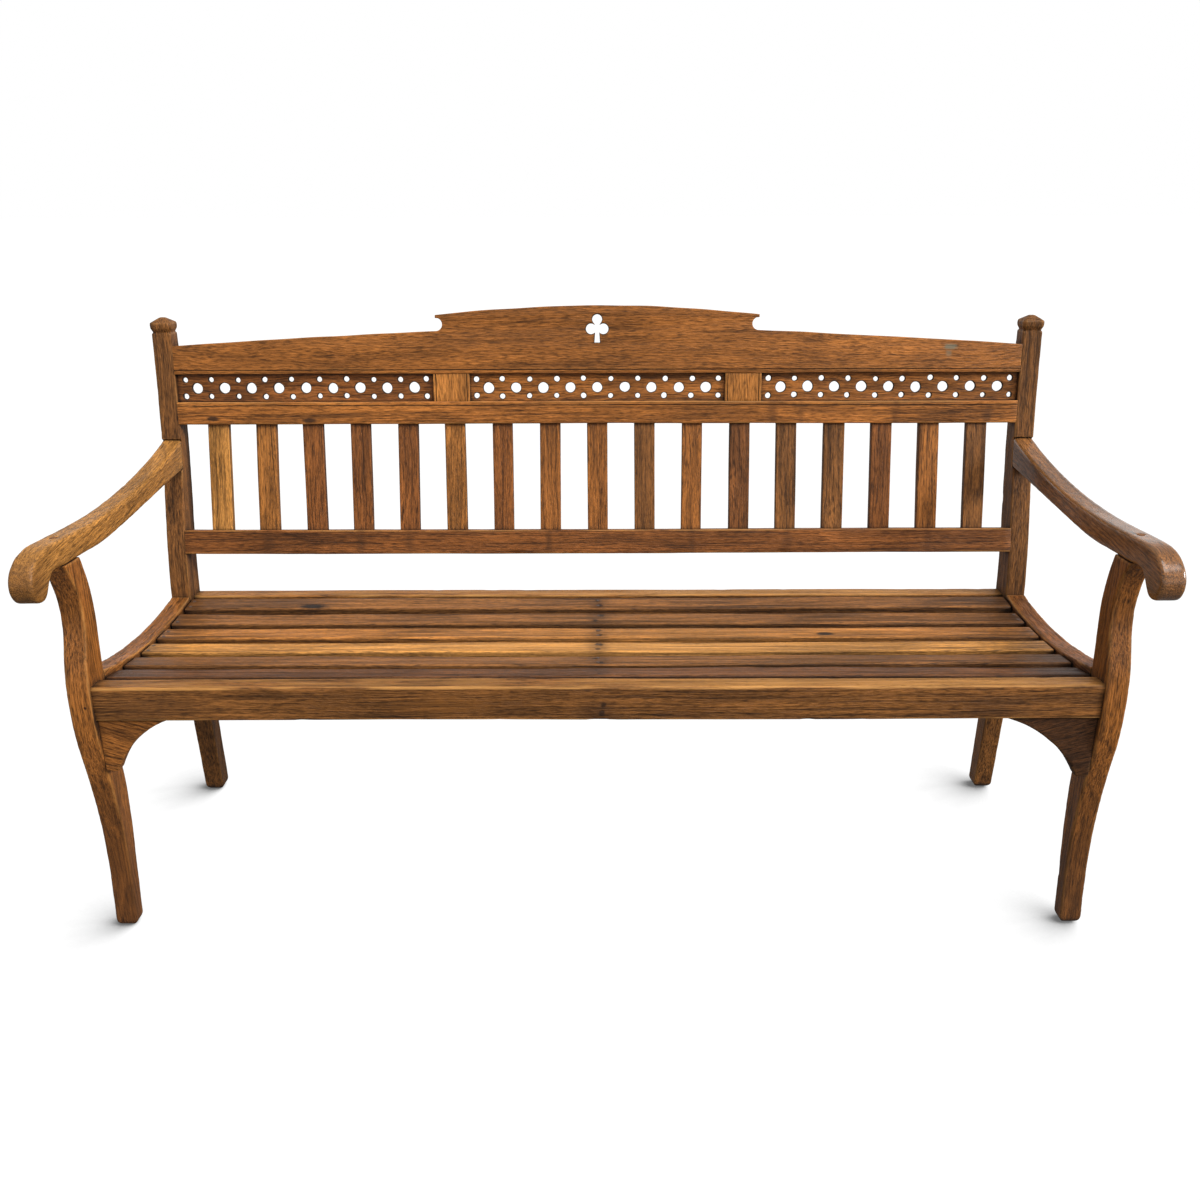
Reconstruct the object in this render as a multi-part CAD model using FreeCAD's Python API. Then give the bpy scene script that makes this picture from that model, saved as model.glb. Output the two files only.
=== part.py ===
"""Three-seat hardwood bench with a pierced frieze, slatted back, scroll arms and a dished slat seat.

Frame: X runs along the bench, Y runs from front to back, Z is up. The origin lies on the floor at the
middle of the bench. Sizes are in millimetres. Depths in the side outlines are measured backwards
from the toe line, the line through the fronts of the two front feet.
"""
import FreeCAD, Part
import math
import os

V = FreeCAD.Vector

# ---------------------------------------------------------------- driving dimensions
BENCH_LENGTH = 1600.0        # over the outer faces of the legs
STOCK = 35.0                 # thickness of legs, posts, arms and side rails
TOE_LINE = -208.0            # Y of the toe line, so that the bench is centred on Y = 0
OUTER_X = BENCH_LENGTH / 2
INNER_X = OUTER_X - STOCK
MIDDLE_X = OUTER_X - STOCK / 2

ARM_ROUNDING = 5.0           # radius along the arm's long edges
EASED = 2.0                  # rounding of ordinary worn edges

LOWER_RAKE = 12.9            # lean of the slatted part of the back, in degrees
UPPER_RAKE = 7.1             # lean of the crest and frieze
RAIL_THICK = 28.0            # back rails
TENON_THICK = 12.0
TENON_LENGTH = 25.0

LOWER_RAIL_Z = (514.0, 557.0)
LOWER_RAIL_FRONT = 427.5     # depth of the rail's front face at mid height
MID_RAIL_Z = (745.0, 785.0)
MID_RAIL_FRONT = 478.4
CREST_Z = 835.0              # underside of the crest rail
CREST_END_Z = 884.0          # crest height where it meets the posts
CREST_STEP_Z = 909.5         # foot of the step beside the raised middle
CREST_TIP_Z = 936.5          # pointed ears of the raised middle
CREST_TOP_Z = 953.0
CREST_EAR_X = 289.0
CREST_NOSE = 5.0             # blunt edge of each ear
CREST_SWELL = 1.5            # rise of each outer edge over a straight line
CREST_FRONT = 487.5          # depth of the crest's front face at its underside
BEAD_OFFSET = 6.0            # scribed line, from the rail's edge
BEAD_WIDTH = 1.6
BEAD_DEPTH = 1.2

PANEL_THICK = 6.0
PANEL_INSET = 9.0            # how far the frieze panels lie behind the rails' front faces
PANEL_GROOVE = 5.0           # how far each frieze panel enters its grooves
BLOCK_X = (232.0, 298.0)     # blocks that divide the frieze into three
BLOCK_THICK = 25.0
BLOCK_INSET = 1.5            # how far the blocks lie behind the rails' front faces
BLOCK_BEAD = 4.0             # scribed lines, from the blocks' upright edges
HOLE_PITCH = 49.4
BIG_HOLE_R = 9.2
SMALL_HOLE_R = 4.7
SMALL_ROW = 15.0             # rows of small holes above and below the large ones
BIG_HOLES_PER_PANEL = 9

BACK_SLATS = 17
BACK_SLAT_PITCH = 87.0
BACK_SLAT_WIDTH = 37.0
BACK_SLAT_THICK = 14.0

FRONT_RAIL_Y = (-12.0, 21.0)
FRONT_RAIL_Z = (388.0, 443.0)
REAR_RAIL_Y = (430.0, 463.0)
REAR_RAIL_Z = (385.0, 428.0)

DISH_LOW_Y = 267.0           # depth of the lowest line of the seat
SIDE_DISH_Z = 422.0          # side rail's lowest point, and the radius of its dished top
SIDE_DISH_RADIUS = 930.0
SIDE_RAIL_BOTTOM = 378.0
SEAT_DISH_Z = 421.0          # the same for the tops of the slats
SEAT_DISH_RADIUS = 1470.0
SEAT_SLATS = 6
SEAT_SLAT_WIDTH = 46.0
SEAT_SLAT_THICK = 18.0
SEAT_SLAT_PITCH = 67.0
FIRST_SEAT_SLAT = 393.0      # depth of the rear slat's middle
SEAT_SLAT_GAP = 3.0          # between a slat's end and the side rail

CLEAT_WIDTH = 20.0
CLEAT_BOTTOM = 384.0
BEARER_WIDTH = 40.0

BRACKET_THICK = 22.0
BRACKET_Y = -7.0
BRACKET_NOSE = 19.0          # width left at the lower end
# The two brackets were cut by eye. Each has its length along the rail, its drop down the leg, and points on
# its free edge as (in from the leg, down from the rail).
BRACKETS = {
    "left": {"length": 114.0, "drop": 90.0, "hollow": [(61.0, 30.0), (35.0, 60.0)]},
    "right": {"length": 148.0, "drop": 104.0, "hollow": [(77.0, 34.0), (43.0, 67.0)]},
}

SIDES = {"left": -1, "right": 1}


# ---------------------------------------------------------------- drawing helpers
def at(x, depth, z):
    """Point at a depth behind the toe line."""
    return V(x, depth + TOE_LINE, z)


def smooth(points):
    curve = Part.BSplineCurve()
    curve.interpolate(points)
    return curve.toShape()


def straight(first, second):
    return Part.makeLine(first, second)


def board(edges, direction):
    """Flat board: the closed outline, given a thickness."""
    return Part.Face(Part.Wire(edges)).extrude(direction)


def block(x0, x1, depth0, depth1, z0, z1):
    return Part.makeBox(x1 - x0, depth1 - depth0, z1 - z0, at(x0, depth0, z0))


def mirrored(shape):
    return shape.mirror(V(0, 0, 0), V(1, 0, 0))


def rounded(shape, radius, wanted):
    """Round the edges that the test picks out."""
    edges = [edge for edge in shape.Edges if wanted(edge)]
    return shape.makeFillet(radius, edges)


def runs_along(edge, axis):
    ends = edge.Vertexes
    if len(ends) < 2:
        return False
    line = ends[1].Point.sub(ends[0].Point)
    return line.Length > 1.0 and abs(line.normalize().dot(axis)) > 0.999


def save(name, shape):
    shape.exportStep(os.path.join("parts", name + ".step"))


def leaning(shape, depth, z, rake):
    """Lean a member built upright at the toe line back by the rake, then set its foot in place."""
    shape.rotate(V(0, TOE_LINE, 0), V(1, 0, 0), -rake)
    shape.translate(V(0, depth, z))
    return shape


# ---------------------------------------------------------------- side frames
POST_FRONT = [(446, 0), (438, 75), (430, 160), (416, 300), (411, 410), (417, 470), (434, 558), (461, 664)]
POST_UPPER_FRONT = [(472, 718), (484, 800), (494, 890)]
POST_REAR = [(527, 890), (521, 760), (511, 690), (491, 585), (473, 485), (467, 420), (468, 200), (480, 0)]
POST_TOP_Z = 906.0
POST_TOP = (495.5, 528.0)    # depths of the post's front and rear at its top
HOUSING_DEPTH = 6.0          # the arm's rear end is let into the post

LEG_FRONT = [(3, 0), (8, 46), (14, 138), (7, 235), (-4, 300), (-14, 352), (-17, 400), (-15, 445), (-7, 485),
             (5, 525), (8, 560), (1, 597), (-12, 625), (-32, 650)]
LEG_REAR = [(26, 650), (37, 615), (46, 575), (47, 530), (43, 480), (41, 430), (42, 380), (47, 310), (51, 235),
            (44, 130), (34, 40), (31, 0)]

# Top from the post forwards, round the scroll, and back along the underside.
ARM_OUTLINE = [(478, 718), (425, 705), (300, 684), (152, 673), (40, 675), (-37, 679), (-68, 678), (-95, 668),
               (-112, 649), (-113, 629), (-101, 613), (-83, 611), (-69, 624), (-54, 639), (-20, 640), (30, 638),
               (97, 635), (171, 638), (253, 645), (350, 654), (467, 664)]


# Square cap of each post from its foot up: (width, height above the post's top).
FINIAL = [(31.0, 0.0), (32.0, 2.0), (38.0, 8.5), (38.5, 10.0), (38.5, 16.5), (36.5, 18.5), (9.0, 27.0)]
FINIAL_CHAMFER = 0.12        # of the width, off each upright corner


def finial(x, depth, z):
    """Square cap that swells from its foot and finishes with a low pyramid."""
    layers = []
    for (lower, z0), (upper, z1) in zip(FINIAL, FINIAL[1:]):
        wires = []
        for width, height in ((lower, z0), (upper, z1)):
            cut = width * FINIAL_CHAMFER
            half = width / 2
            corners = [(half, half - cut), (half - cut, half), (cut - half, half), (-half, half - cut),
                       (-half, cut - half), (cut - half, -half), (half - cut, -half), (half, cut - half)]
            points = [at(x + a, depth + b, z + height) for a, b in corners]
            wires.append(Part.makePolygon(points + points[:1]))
        layers.append(Part.makeLoft(wires, True, True))
    cap = layers[0]
    for layer in layers[1:]:
        cap = cap.fuse(layer)
    return cap.removeSplitter()


def curved_on_side(edge):
    """The curved edges that bound a sawn board's two flat side faces."""
    return edge.BoundBox.XLength < 0.01 and edge.Curve.TypeId == "Part::GeomBSplineCurve"


def post_blank(easing):
    """Rear post of the right-hand side frame, with the housing for the arm."""
    x = INNER_X
    front = [at(x, d, z) for d, z in POST_FRONT]
    upper = [at(x, d, z) for d, z in POST_UPPER_FRONT]
    rear = [at(x, d, z) for d, z in POST_REAR]
    top_front = at(x, POST_TOP[0], POST_TOP_Z)
    top_rear = at(x, POST_TOP[1], POST_TOP_Z)
    low = front[-1].add(V(0, HOUSING_DEPTH, 0))
    high = upper[0].add(V(0, HOUSING_DEPTH, 0))
    edges = [smooth(front), straight(front[-1], low), straight(low, high), straight(high, upper[0]),
             smooth(upper), straight(upper[-1], top_front), straight(top_front, top_rear),
             straight(top_rear, rear[0]), smooth(rear), straight(rear[-1], front[0])]
    return eased(board(edges, V(STOCK, 0, 0)), easing)


def leg_blank(easing):
    x = INNER_X
    front = [at(x, d, z) for d, z in LEG_FRONT]
    rear = [at(x, d, z) for d, z in LEG_REAR]
    edges = [smooth(front), straight(front[-1], rear[0]), smooth(rear), straight(rear[-1], front[0])]
    return eased(board(edges, V(STOCK, 0, 0)), easing)


def arm_blank(easing):
    """Scroll arm; its rear end fills the post's housing."""
    outline = [at(INNER_X, d, z) for d, z in ARM_OUTLINE]
    return eased(board([smooth(outline), straight(outline[-1], outline[0])], V(STOCK, 0, 0)), easing)


def eased(blank, radius):
    """Round the curved edges, or leave the blank square for marking out its neighbours."""
    if radius == 0:
        return blank
    return rounded(blank, radius, curved_on_side)


# ---------------------------------------------------------------- back
def back_rail(z_range, front_depth, rake):
    """Straight rail between the posts, and the tenon that runs through it into both of them."""
    height = (z_range[1] - z_range[0]) / math.cos(math.radians(rake))
    middle = (z_range[0] + z_range[1]) / 2
    rail = block(-INNER_X, INNER_X, 0, RAIL_THICK, -height / 2, height / 2)
    rail = rounded(rail, EASED, lambda edge: runs_along(edge, V(1, 0, 0)))
    tenon = rail_tenon(6 - height / 2, height / 2 - 6)
    return leaning(rail, front_depth, middle, rake), leaning(tenon, front_depth, middle, rake)


def rail_tenon(low, high):
    reach = INNER_X + TENON_LENGTH
    inset = (RAIL_THICK - TENON_THICK) / 2
    return block(-reach, reach, inset, inset + TENON_THICK, low, high)


def crest_height(z):
    """Height above the crest's underside, along its leaning face."""
    return (z - CREST_Z) / math.cos(math.radians(UPPER_RAKE))


def crest_outline(depth):
    end = crest_height(CREST_END_Z)
    step = crest_height(CREST_STEP_Z)
    tip = crest_height(CREST_TIP_Z)
    top = crest_height(CREST_TOP_Z)
    cove = (tip - CREST_NOSE - step) / 2
    half = []
    for side in (-1, 1):
        half.append({
            "end": at(side * INNER_X, depth, end),
            "wing": at(side * (INNER_X + CREST_EAR_X) / 2, depth, (end + step) / 2 + CREST_SWELL),
            "step": at(side * CREST_EAR_X, depth, step),
            "cove": at(side * (CREST_EAR_X - cove * 0.95), depth, step + cove),
            "ear": at(side * (CREST_EAR_X + 2.0), depth, tip - CREST_NOSE),
            "tip": at(side * (CREST_EAR_X + 2.0), depth, tip),
            "foot": at(side * INNER_X, depth, 0),
        })
    left, right = half
    return [
        straight(left["foot"], left["end"]),
        Part.Arc(left["end"], left["wing"], left["step"]).toShape(),
        Part.Arc(left["step"], left["cove"], left["ear"]).toShape(),
        straight(left["ear"], left["tip"]),
        Part.Arc(left["tip"], at(0, depth, top), right["tip"]).toShape(),
        straight(right["tip"], right["ear"]),
        Part.Arc(right["ear"], right["cove"], right["step"]).toShape(),
        Part.Arc(right["step"], right["wing"], right["end"]).toShape(),
        straight(right["end"], right["foot"]),
        straight(right["foot"], left["foot"]),
    ]


def trefoil_cutter():
    """Club-shaped piercing: three lobes over a flared stem."""
    top_lobe = crest_height(929.0)
    side_lobe = crest_height(912.5)
    stem_top = crest_height(906.0)
    stem_foot = crest_height(888.5)
    depth0 = -5.0
    length = RAIL_THICK + 10
    along = V(0, 1, 0)
    shape = Part.makeCylinder(9.0, length, at(0, depth0, top_lobe), along)
    shape = shape.fuse(block(-8.8, 8.8, depth0, depth0 + length, side_lobe - 8, top_lobe))
    for side in (-1, 1):
        shape = shape.fuse(Part.makeCylinder(9.4, length, at(side * 11.0, depth0, side_lobe), along))
    corners = [(-3.4, stem_top), (3.4, stem_top), (5.4, stem_foot), (-5.4, stem_foot)]
    points = [at(x, depth0, z) for x, z in corners]
    stem = Part.Face(Part.makePolygon(points + points[:1])).extrude(V(0, length, 0))
    return shape.fuse(stem).removeSplitter()


def crest_rail():
    """Arched crest with its piercing and bead, and its two tenons."""
    crest = board(crest_outline(0), V(0, RAIL_THICK, 0))
    crest = crest.cut(trefoil_cutter())
    crest = crest.cut(block(-INNER_X, INNER_X, 0, BEAD_DEPTH, BEAD_OFFSET, BEAD_OFFSET + BEAD_WIDTH))
    tenons = rail_tenon(8, crest_height(CREST_END_Z) - 6).cut(block(-INNER_X, INNER_X, 0, RAIL_THICK, 0, 200))
    return leaning(crest, CREST_FRONT, CREST_Z, UPPER_RAKE), leaning(tenons, CREST_FRONT, CREST_Z, UPPER_RAKE)


def mid_rail():
    rail, tenon = back_rail(MID_RAIL_Z, MID_RAIL_FRONT, UPPER_RAKE)
    height = (MID_RAIL_Z[1] - MID_RAIL_Z[0]) / math.cos(math.radians(UPPER_RAKE))
    top = height / 2 - BEAD_OFFSET
    bead = block(-INNER_X, INNER_X, 0, BEAD_DEPTH, top - BEAD_WIDTH, top)
    middle = (MID_RAIL_Z[0] + MID_RAIL_Z[1]) / 2
    return rail.cut(leaning(bead, MID_RAIL_FRONT, middle, UPPER_RAKE)), tenon


FRIEZE_HEIGHT = (CREST_Z - MID_RAIL_Z[1]) / math.cos(math.radians(UPPER_RAKE))
FRIEZE_FRONT = CREST_FRONT - (CREST_Z - MID_RAIL_Z[1]) * math.tan(math.radians(UPPER_RAKE))


def frieze_panel(x0, x1):
    """Thin board with a row of large holes between two staggered rows of small ones."""
    panel = block(x0 - PANEL_GROOVE, x1 + PANEL_GROOVE, PANEL_INSET, PANEL_INSET + PANEL_THICK, -PANEL_GROOVE,
                  FRIEZE_HEIGHT + PANEL_GROOVE)
    centre = (x0 + x1) / 2
    middle = FRIEZE_HEIGHT / 2
    drills = []
    for index in range(BIG_HOLES_PER_PANEL):
        x = centre + (index - (BIG_HOLES_PER_PANEL - 1) / 2) * HOLE_PITCH
        drills.append((x, middle, BIG_HOLE_R))
    for index in range(BIG_HOLES_PER_PANEL + 1):
        x = centre + (index - BIG_HOLES_PER_PANEL / 2) * HOLE_PITCH
        drills.append((x, middle + SMALL_ROW, SMALL_HOLE_R))
        drills.append((x, middle - SMALL_ROW, SMALL_HOLE_R))
    cutters = [Part.makeCylinder(r, 3 * RAIL_THICK, at(x, -RAIL_THICK, z), V(0, 1, 0)) for x, z, r in drills]
    return leaning(panel.cut(Part.makeCompound(cutters)), FRIEZE_FRONT, MID_RAIL_Z[1], UPPER_RAKE)


def frieze_block(side):
    """Upright block between two panels, with a stub tenon at each end and scribed edges."""
    x0, x1 = sorted((side * BLOCK_X[0], side * BLOCK_X[1]))
    body = block(x0, x1, BLOCK_INSET, BLOCK_INSET + BLOCK_THICK, 0, FRIEZE_HEIGHT)
    for x in (x0 + BLOCK_BEAD, x1 - BLOCK_BEAD - BEAD_WIDTH):
        body = body.cut(block(x, x + BEAD_WIDTH, BLOCK_INSET, BLOCK_INSET + BEAD_DEPTH, 0, FRIEZE_HEIGHT))
    inset = (RAIL_THICK - TENON_THICK) / 2
    tenon = block(x0 + 12, x1 - 12, inset, inset + TENON_THICK, -10, FRIEZE_HEIGHT + 10)
    return leaning(body.fuse(tenon), FRIEZE_FRONT, MID_RAIL_Z[1], UPPER_RAKE)


def back_slat(index):
    """Flat slat, its ends let into the lower and middle rails."""
    x = (index - (BACK_SLATS - 1) / 2) * BACK_SLAT_PITCH
    half = BACK_SLAT_WIDTH / 2
    rise = MID_RAIL_Z[0] - LOWER_RAIL_Z[1]
    length = rise / math.cos(math.radians(LOWER_RAKE))
    foot_depth = LOWER_RAIL_FRONT + 20.6 * math.tan(math.radians(LOWER_RAKE)) + 7.0
    slat = block(x - half, x + half, 0, BACK_SLAT_THICK, -12, length + 12)
    slat = rounded(slat, 1.5, lambda edge: runs_along(edge, V(0, 0, 1)))
    return leaning(slat, foot_depth, LOWER_RAIL_Z[1], LOWER_RAKE)


# ---------------------------------------------------------------- seat
def dish(depth, low_z, radius):
    """Height of a dished edge at this depth."""
    run = depth - DISH_LOW_Y
    return low_z + radius - math.sqrt(radius * radius - run * run)


def dished_board(x0, x1, depth0, depth1, bottom, low_z, radius):
    """Board on edge whose top follows the dish of the seat."""
    steps = [depth0 + (depth1 - depth0) * index / 4 for index in range(5)]
    top = [at(x0, depth, dish(depth, low_z, radius)) for depth in steps]
    feet = [at(x0, depth0, bottom), at(x0, depth1, bottom)]
    edges = [smooth(top), straight(top[-1], feet[1]), straight(feet[1], feet[0]), straight(feet[0], top[0])]
    return board(edges, V(x1 - x0, 0, 0))


def side_seat_rail():
    """Dished rail shouldered to front leg and rear post, and its tenon."""
    rail = dished_board(INNER_X, OUTER_X, 15, 440, SIDE_RAIL_BOTTOM, SIDE_DISH_Z, SIDE_DISH_RADIUS)
    rail = rounded(rail, EASED, curved_on_side)
    rail = rail.cut(leg_blank(0)).cut(post_blank(0))
    x0 = INNER_X + (STOCK - TENON_THICK) / 2
    tenon = block(x0, x0 + TENON_THICK, 20, 434, SIDE_RAIL_BOTTOM + 10, SIDE_RAIL_BOTTOM + 36)
    return rail.fuse(tenon), tenon


def cross_rail(depths, heights):
    """Straight seat rail between the two side frames, and its tenon."""
    rail = block(-INNER_X, INNER_X, depths[0], depths[1], heights[0], heights[1])
    rail = rounded(rail, EASED, lambda edge: runs_along(edge, V(1, 0, 0)))
    reach = INNER_X + TENON_LENGTH
    middle = (depths[0] + depths[1]) / 2
    tenon = block(-reach, reach, middle - 7, middle + 7, heights[0] + 8, heights[1] - 8)
    return rail, tenon


def seat_slat(index):
    """Slat lying along the bench, tangent to the dish."""
    depth = FIRST_SEAT_SLAT - index * SEAT_SLAT_PITCH
    half_length = INNER_X - SEAT_SLAT_GAP
    half = SEAT_SLAT_WIDTH / 2
    slat = block(-half_length, half_length, -half, half, -SEAT_SLAT_THICK, 0)
    slat = rounded(slat, 2.5, lambda edge: runs_along(edge, V(1, 0, 0)))
    slope = math.degrees(math.asin((depth - DISH_LOW_Y) / SEAT_DISH_RADIUS))
    slat.rotate(V(0, TOE_LINE, 0), V(1, 0, 0), slope)
    slat.translate(V(0, depth, dish(depth, SEAT_DISH_Z, SEAT_DISH_RADIUS)))
    return slat


def slat_support(x0, x1, depth0, depth1, bottom):
    """Batten under the slats; its dished top stands 0.4 into them until they are cut away."""
    low = SEAT_DISH_Z - SEAT_SLAT_THICK + 0.4
    return dished_board(x0, x1, depth0, depth1, bottom, low, SEAT_DISH_RADIUS + SEAT_SLAT_THICK)


def corner_bracket(length, drop, hollow):
    """Bracket in the corner between leg and front rail, hollowed on its free edge."""
    y = BRACKET_Y
    top = FRONT_RAIL_Z[0]
    low = top - drop
    inner = at(INNER_X - length, y, top)
    nose = at(INNER_X - BRACKET_NOSE, y, low)
    hollow = [at(INNER_X - across, y, top - down) for across, down in hollow]
    edges = [straight(at(INNER_X, y, top), inner), smooth([inner] + hollow + [nose]),
             straight(nose, at(INNER_X, y, low)), straight(at(INNER_X, y, low), at(INNER_X, y, top))]
    bracket = board(edges, V(0, BRACKET_THICK, 0))
    return rounded(bracket, EASED, lambda edge: edge.Curve.TypeId == "Part::GeomBSplineCurve")


# ---------------------------------------------------------------- fasteners
def nail(x, depth, z, slope):
    """Flat-headed nail driven square to its slat."""
    head = Part.makeCylinder(3.0, 1.2, at(x, 0, -1.2), V(0, 0, 1))
    shank = Part.makeCylinder(1.3, 30.0, at(x, 0, -31.2), V(0, 0, 1))
    pin = head.fuse(shank)
    pin.rotate(V(0, TOE_LINE, 0), V(1, 0, 0), slope)
    pin.translate(V(0, depth, z))
    return pin


def nails_at(x):
    """Two nails through every seat slat, at this distance along the bench."""
    nails = []
    for index in range(SEAT_SLATS):
        middle = FIRST_SEAT_SLAT - index * SEAT_SLAT_PITCH
        slope = math.asin((middle - DISH_LOW_Y) / SEAT_DISH_RADIUS)
        for offset in (-11.0, 11.0):
            z = dish(middle, SEAT_DISH_Z, SEAT_DISH_RADIUS) + offset * math.sin(slope)
            nails.append(nail(x, middle + offset * math.cos(slope), z, math.degrees(slope)))
    return nails


def screw(head_point, direction, length):
    """Countersunk wood screw, its head level with the surface it enters."""
    head = Part.makeCone(4.0, 2.0, 3.0, head_point, direction)
    shank = Part.makeCylinder(2.0, length, head_point, direction)
    return head.fuse(shank)


def cleat_screws():
    x = INNER_X - CLEAT_WIDTH
    return [screw(at(x, depth, CLEAT_BOTTOM + 10), V(1, 0, 0), 42.0) for depth in (60.0, 165.0, 290.0, 395.0)]


def bracket_screws(drop):
    """One screw up into the front rail and one across into the leg."""
    middle = BRACKET_Y + BRACKET_THICK / 2
    top = FRONT_RAIL_Z[0]
    rail_screw = screw(at(INNER_X - 34.0, middle, top - 30.0), V(0, 0, 1), 55.0)
    leg_screw = screw(at(INNER_X - 12.0, middle, top - drop + 14.0), V(1, 0, 0), 38.0)
    return [rail_screw, leg_screw]


def back_rail_pegs():
    """Pegs through the rear face of the post and the rail tenons, cut off level with the post."""
    places = [(536.0, 434.0, LOWER_RAKE), (766.0, 482.0, UPPER_RAKE), (850.0, 492.0, UPPER_RAKE),
              (870.0, 495.0, UPPER_RAKE), (406.0, 436.0, 0.0)]
    pegs = []
    for z, depth, rake in places:
        along = V(0, math.cos(math.radians(rake)), -math.sin(math.radians(rake)))
        peg = Part.makeCylinder(4.0, 80.0, at(INNER_X + 12.0, depth, z), along)
        pegs.append(peg.common(post_blank(0)))
    return pegs


def side_rail_pegs():
    """Pegs from the inner faces of leg and post through the side-rail tenons."""
    z = SIDE_RAIL_BOTTOM + 24.0
    return [Part.makeCylinder(3.5, 28.0, at(INNER_X, depth, z), V(1, 0, 0)) for depth in (32.0, 421.0)]


def arm_dowel():
    """Dowel down through the arm into the leg, cut off level with the arm's top."""
    dowel = Part.makeCylinder(4.5, 90.0, at(MIDDLE_X, -2.0, 615.0), V(0, 0, 1))
    return dowel.common(arm_blank(0).fuse(leg_blank(0)))


# ---------------------------------------------------------------- assembly
def cut_all(shape, cutters):
    for cutter in cutters:
        shape = shape.cut(cutter)
    return shape


def build():
    """Every piece by node name. The right-hand pieces are finished first, then mirrored."""
    crest, crest_tenons = crest_rail()
    middle, middle_tenon = mid_rail()
    lower, lower_tenon = back_rail(LOWER_RAIL_Z, LOWER_RAIL_FRONT, LOWER_RAKE)
    front, front_tenon = cross_rail(FRONT_RAIL_Y, FRONT_RAIL_Z)
    rear, rear_tenon = cross_rail(REAR_RAIL_Y, REAR_RAIL_Z)
    side_rail, side_tenon = side_seat_rail()
    leg_tenon = block(MIDDLE_X - 7, MIDDLE_X + 7, -18, 14, 630, 660)
    arm_tenon = block(MIDDLE_X - 6, MIDDLE_X + 6, 460, 496, 674, 704)

    panels = {
        "left": frieze_panel(-INNER_X, -BLOCK_X[1]),
        "centre": frieze_panel(-BLOCK_X[0], BLOCK_X[0]),
        "right": frieze_panel(BLOCK_X[1], INNER_X),
    }
    blocks = [frieze_block(side) for side in SIDES.values()]
    back_slats = [back_slat(index) for index in range(BACK_SLATS)]
    seat_slats = [seat_slat(index) for index in range(SEAT_SLATS)]
    all_seat = Part.makeCompound(seat_slats)

    fasteners = {
        "back_rail_pegs": back_rail_pegs(),
        "side_rail_pegs": side_rail_pegs(),
        "arm_dowels": [arm_dowel()],
        "cleat_screws": cleat_screws(),
    }
    bracket_fixings = {side: bracket_screws(shape["drop"]) for side, shape in BRACKETS.items()}
    end_nails = nails_at(INNER_X - 11.0)
    middle_nails = nails_at(0.0)

    leg = leg_blank(EASED).cut(arm_blank(0)).fuse(leg_tenon)
    leg = cut_all(leg, [front_tenon, side_tenon] + fasteners["side_rail_pegs"] + fasteners["arm_dowels"])
    arm = arm_blank(ARM_ROUNDING).cut(post_blank(0)).fuse(arm_tenon)
    post = post_blank(EASED).fuse(finial(MIDDLE_X, sum(POST_TOP) / 2, POST_TOP_Z))
    cleat = slat_support(INNER_X - CLEAT_WIDTH, INNER_X, FRONT_RAIL_Y[1], REAR_RAIL_Y[0], CLEAT_BOTTOM)
    right = {
        "rear_post": cut_all(post, [crest_tenons, middle_tenon, lower_tenon, rear_tenon, side_tenon, arm_tenon,
                                    panels["right"]] + fasteners["back_rail_pegs"] + fasteners["side_rail_pegs"]),
        "arm": cut_all(arm, [leg_tenon] + fasteners["arm_dowels"]),
        "side_seat_rail": cut_all(side_rail, fasteners["side_rail_pegs"] + fasteners["cleat_screws"]),
        "slat_cleat": cut_all(cleat, [all_seat] + fasteners["cleat_screws"] + end_nails),
    }
    parts = {}
    for name, shape in right.items():
        parts[name + "_right"] = shape
        parts[name + "_left"] = mirrored(shape)
    for side, shape in BRACKETS.items():
        pieces = {
            "front_leg": cut_all(leg, bracket_fixings[side]),
            "corner_bracket": cut_all(corner_bracket(**shape), bracket_fixings[side]),
        }
        for name, piece in pieces.items():
            parts["%s_%s" % (name, side)] = piece if side == "right" else mirrored(piece)

    pegs = fasteners["back_rail_pegs"] + [mirrored(peg) for peg in fasteners["back_rail_pegs"]]
    screws = bracket_fixings["right"] + [mirrored(one) for one in bracket_fixings["left"]]
    grooves = list(panels.values())
    bearer = slat_support(-BEARER_WIDTH / 2, BEARER_WIDTH / 2, FRONT_RAIL_Y[1] - 12, REAR_RAIL_Y[0] + 12,
                          CLEAT_BOTTOM + 4)
    bearer = bearer.cut(all_seat)
    parts["crest_rail"] = cut_all(crest.fuse(crest_tenons), grooves + blocks + pegs)
    parts["mid_rail"] = cut_all(middle.fuse(middle_tenon), back_slats + grooves + blocks + pegs)
    parts["lower_back_rail"] = cut_all(lower.fuse(lower_tenon), back_slats + pegs)
    parts["front_seat_rail"] = cut_all(front.fuse(front_tenon), [bearer] + screws)
    parts["rear_seat_rail"] = cut_all(rear.fuse(rear_tenon), [bearer] + pegs)
    parts["centre_bearer"] = cut_all(bearer, middle_nails)
    for name, panel in panels.items():
        parts["frieze_panel_" + name] = panel
    for name, piece in zip(SIDES, blocks):
        parts["frieze_block_" + name] = cut_all(piece, grooves)
    for index, slat in enumerate(back_slats):
        parts["back_slat_%02d" % (index + 1)] = slat
    nails = end_nails + middle_nails + [mirrored(one) for one in end_nails]
    for index, slat in enumerate(seat_slats):
        parts["seat_slat_%d" % (index + 1)] = slat.cut(Part.makeCompound(nails))
    for name, group in fasteners.items():
        parts[name] = Part.makeCompound(group + [mirrored(one) for one in group])
    parts["bracket_screws"] = Part.makeCompound(screws)
    parts["slat_nails"] = Part.makeCompound(nails)
    return parts


def main():
    os.makedirs("parts", exist_ok=True)
    for name, shape in build().items():
        save(name, shape)


main()
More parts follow.
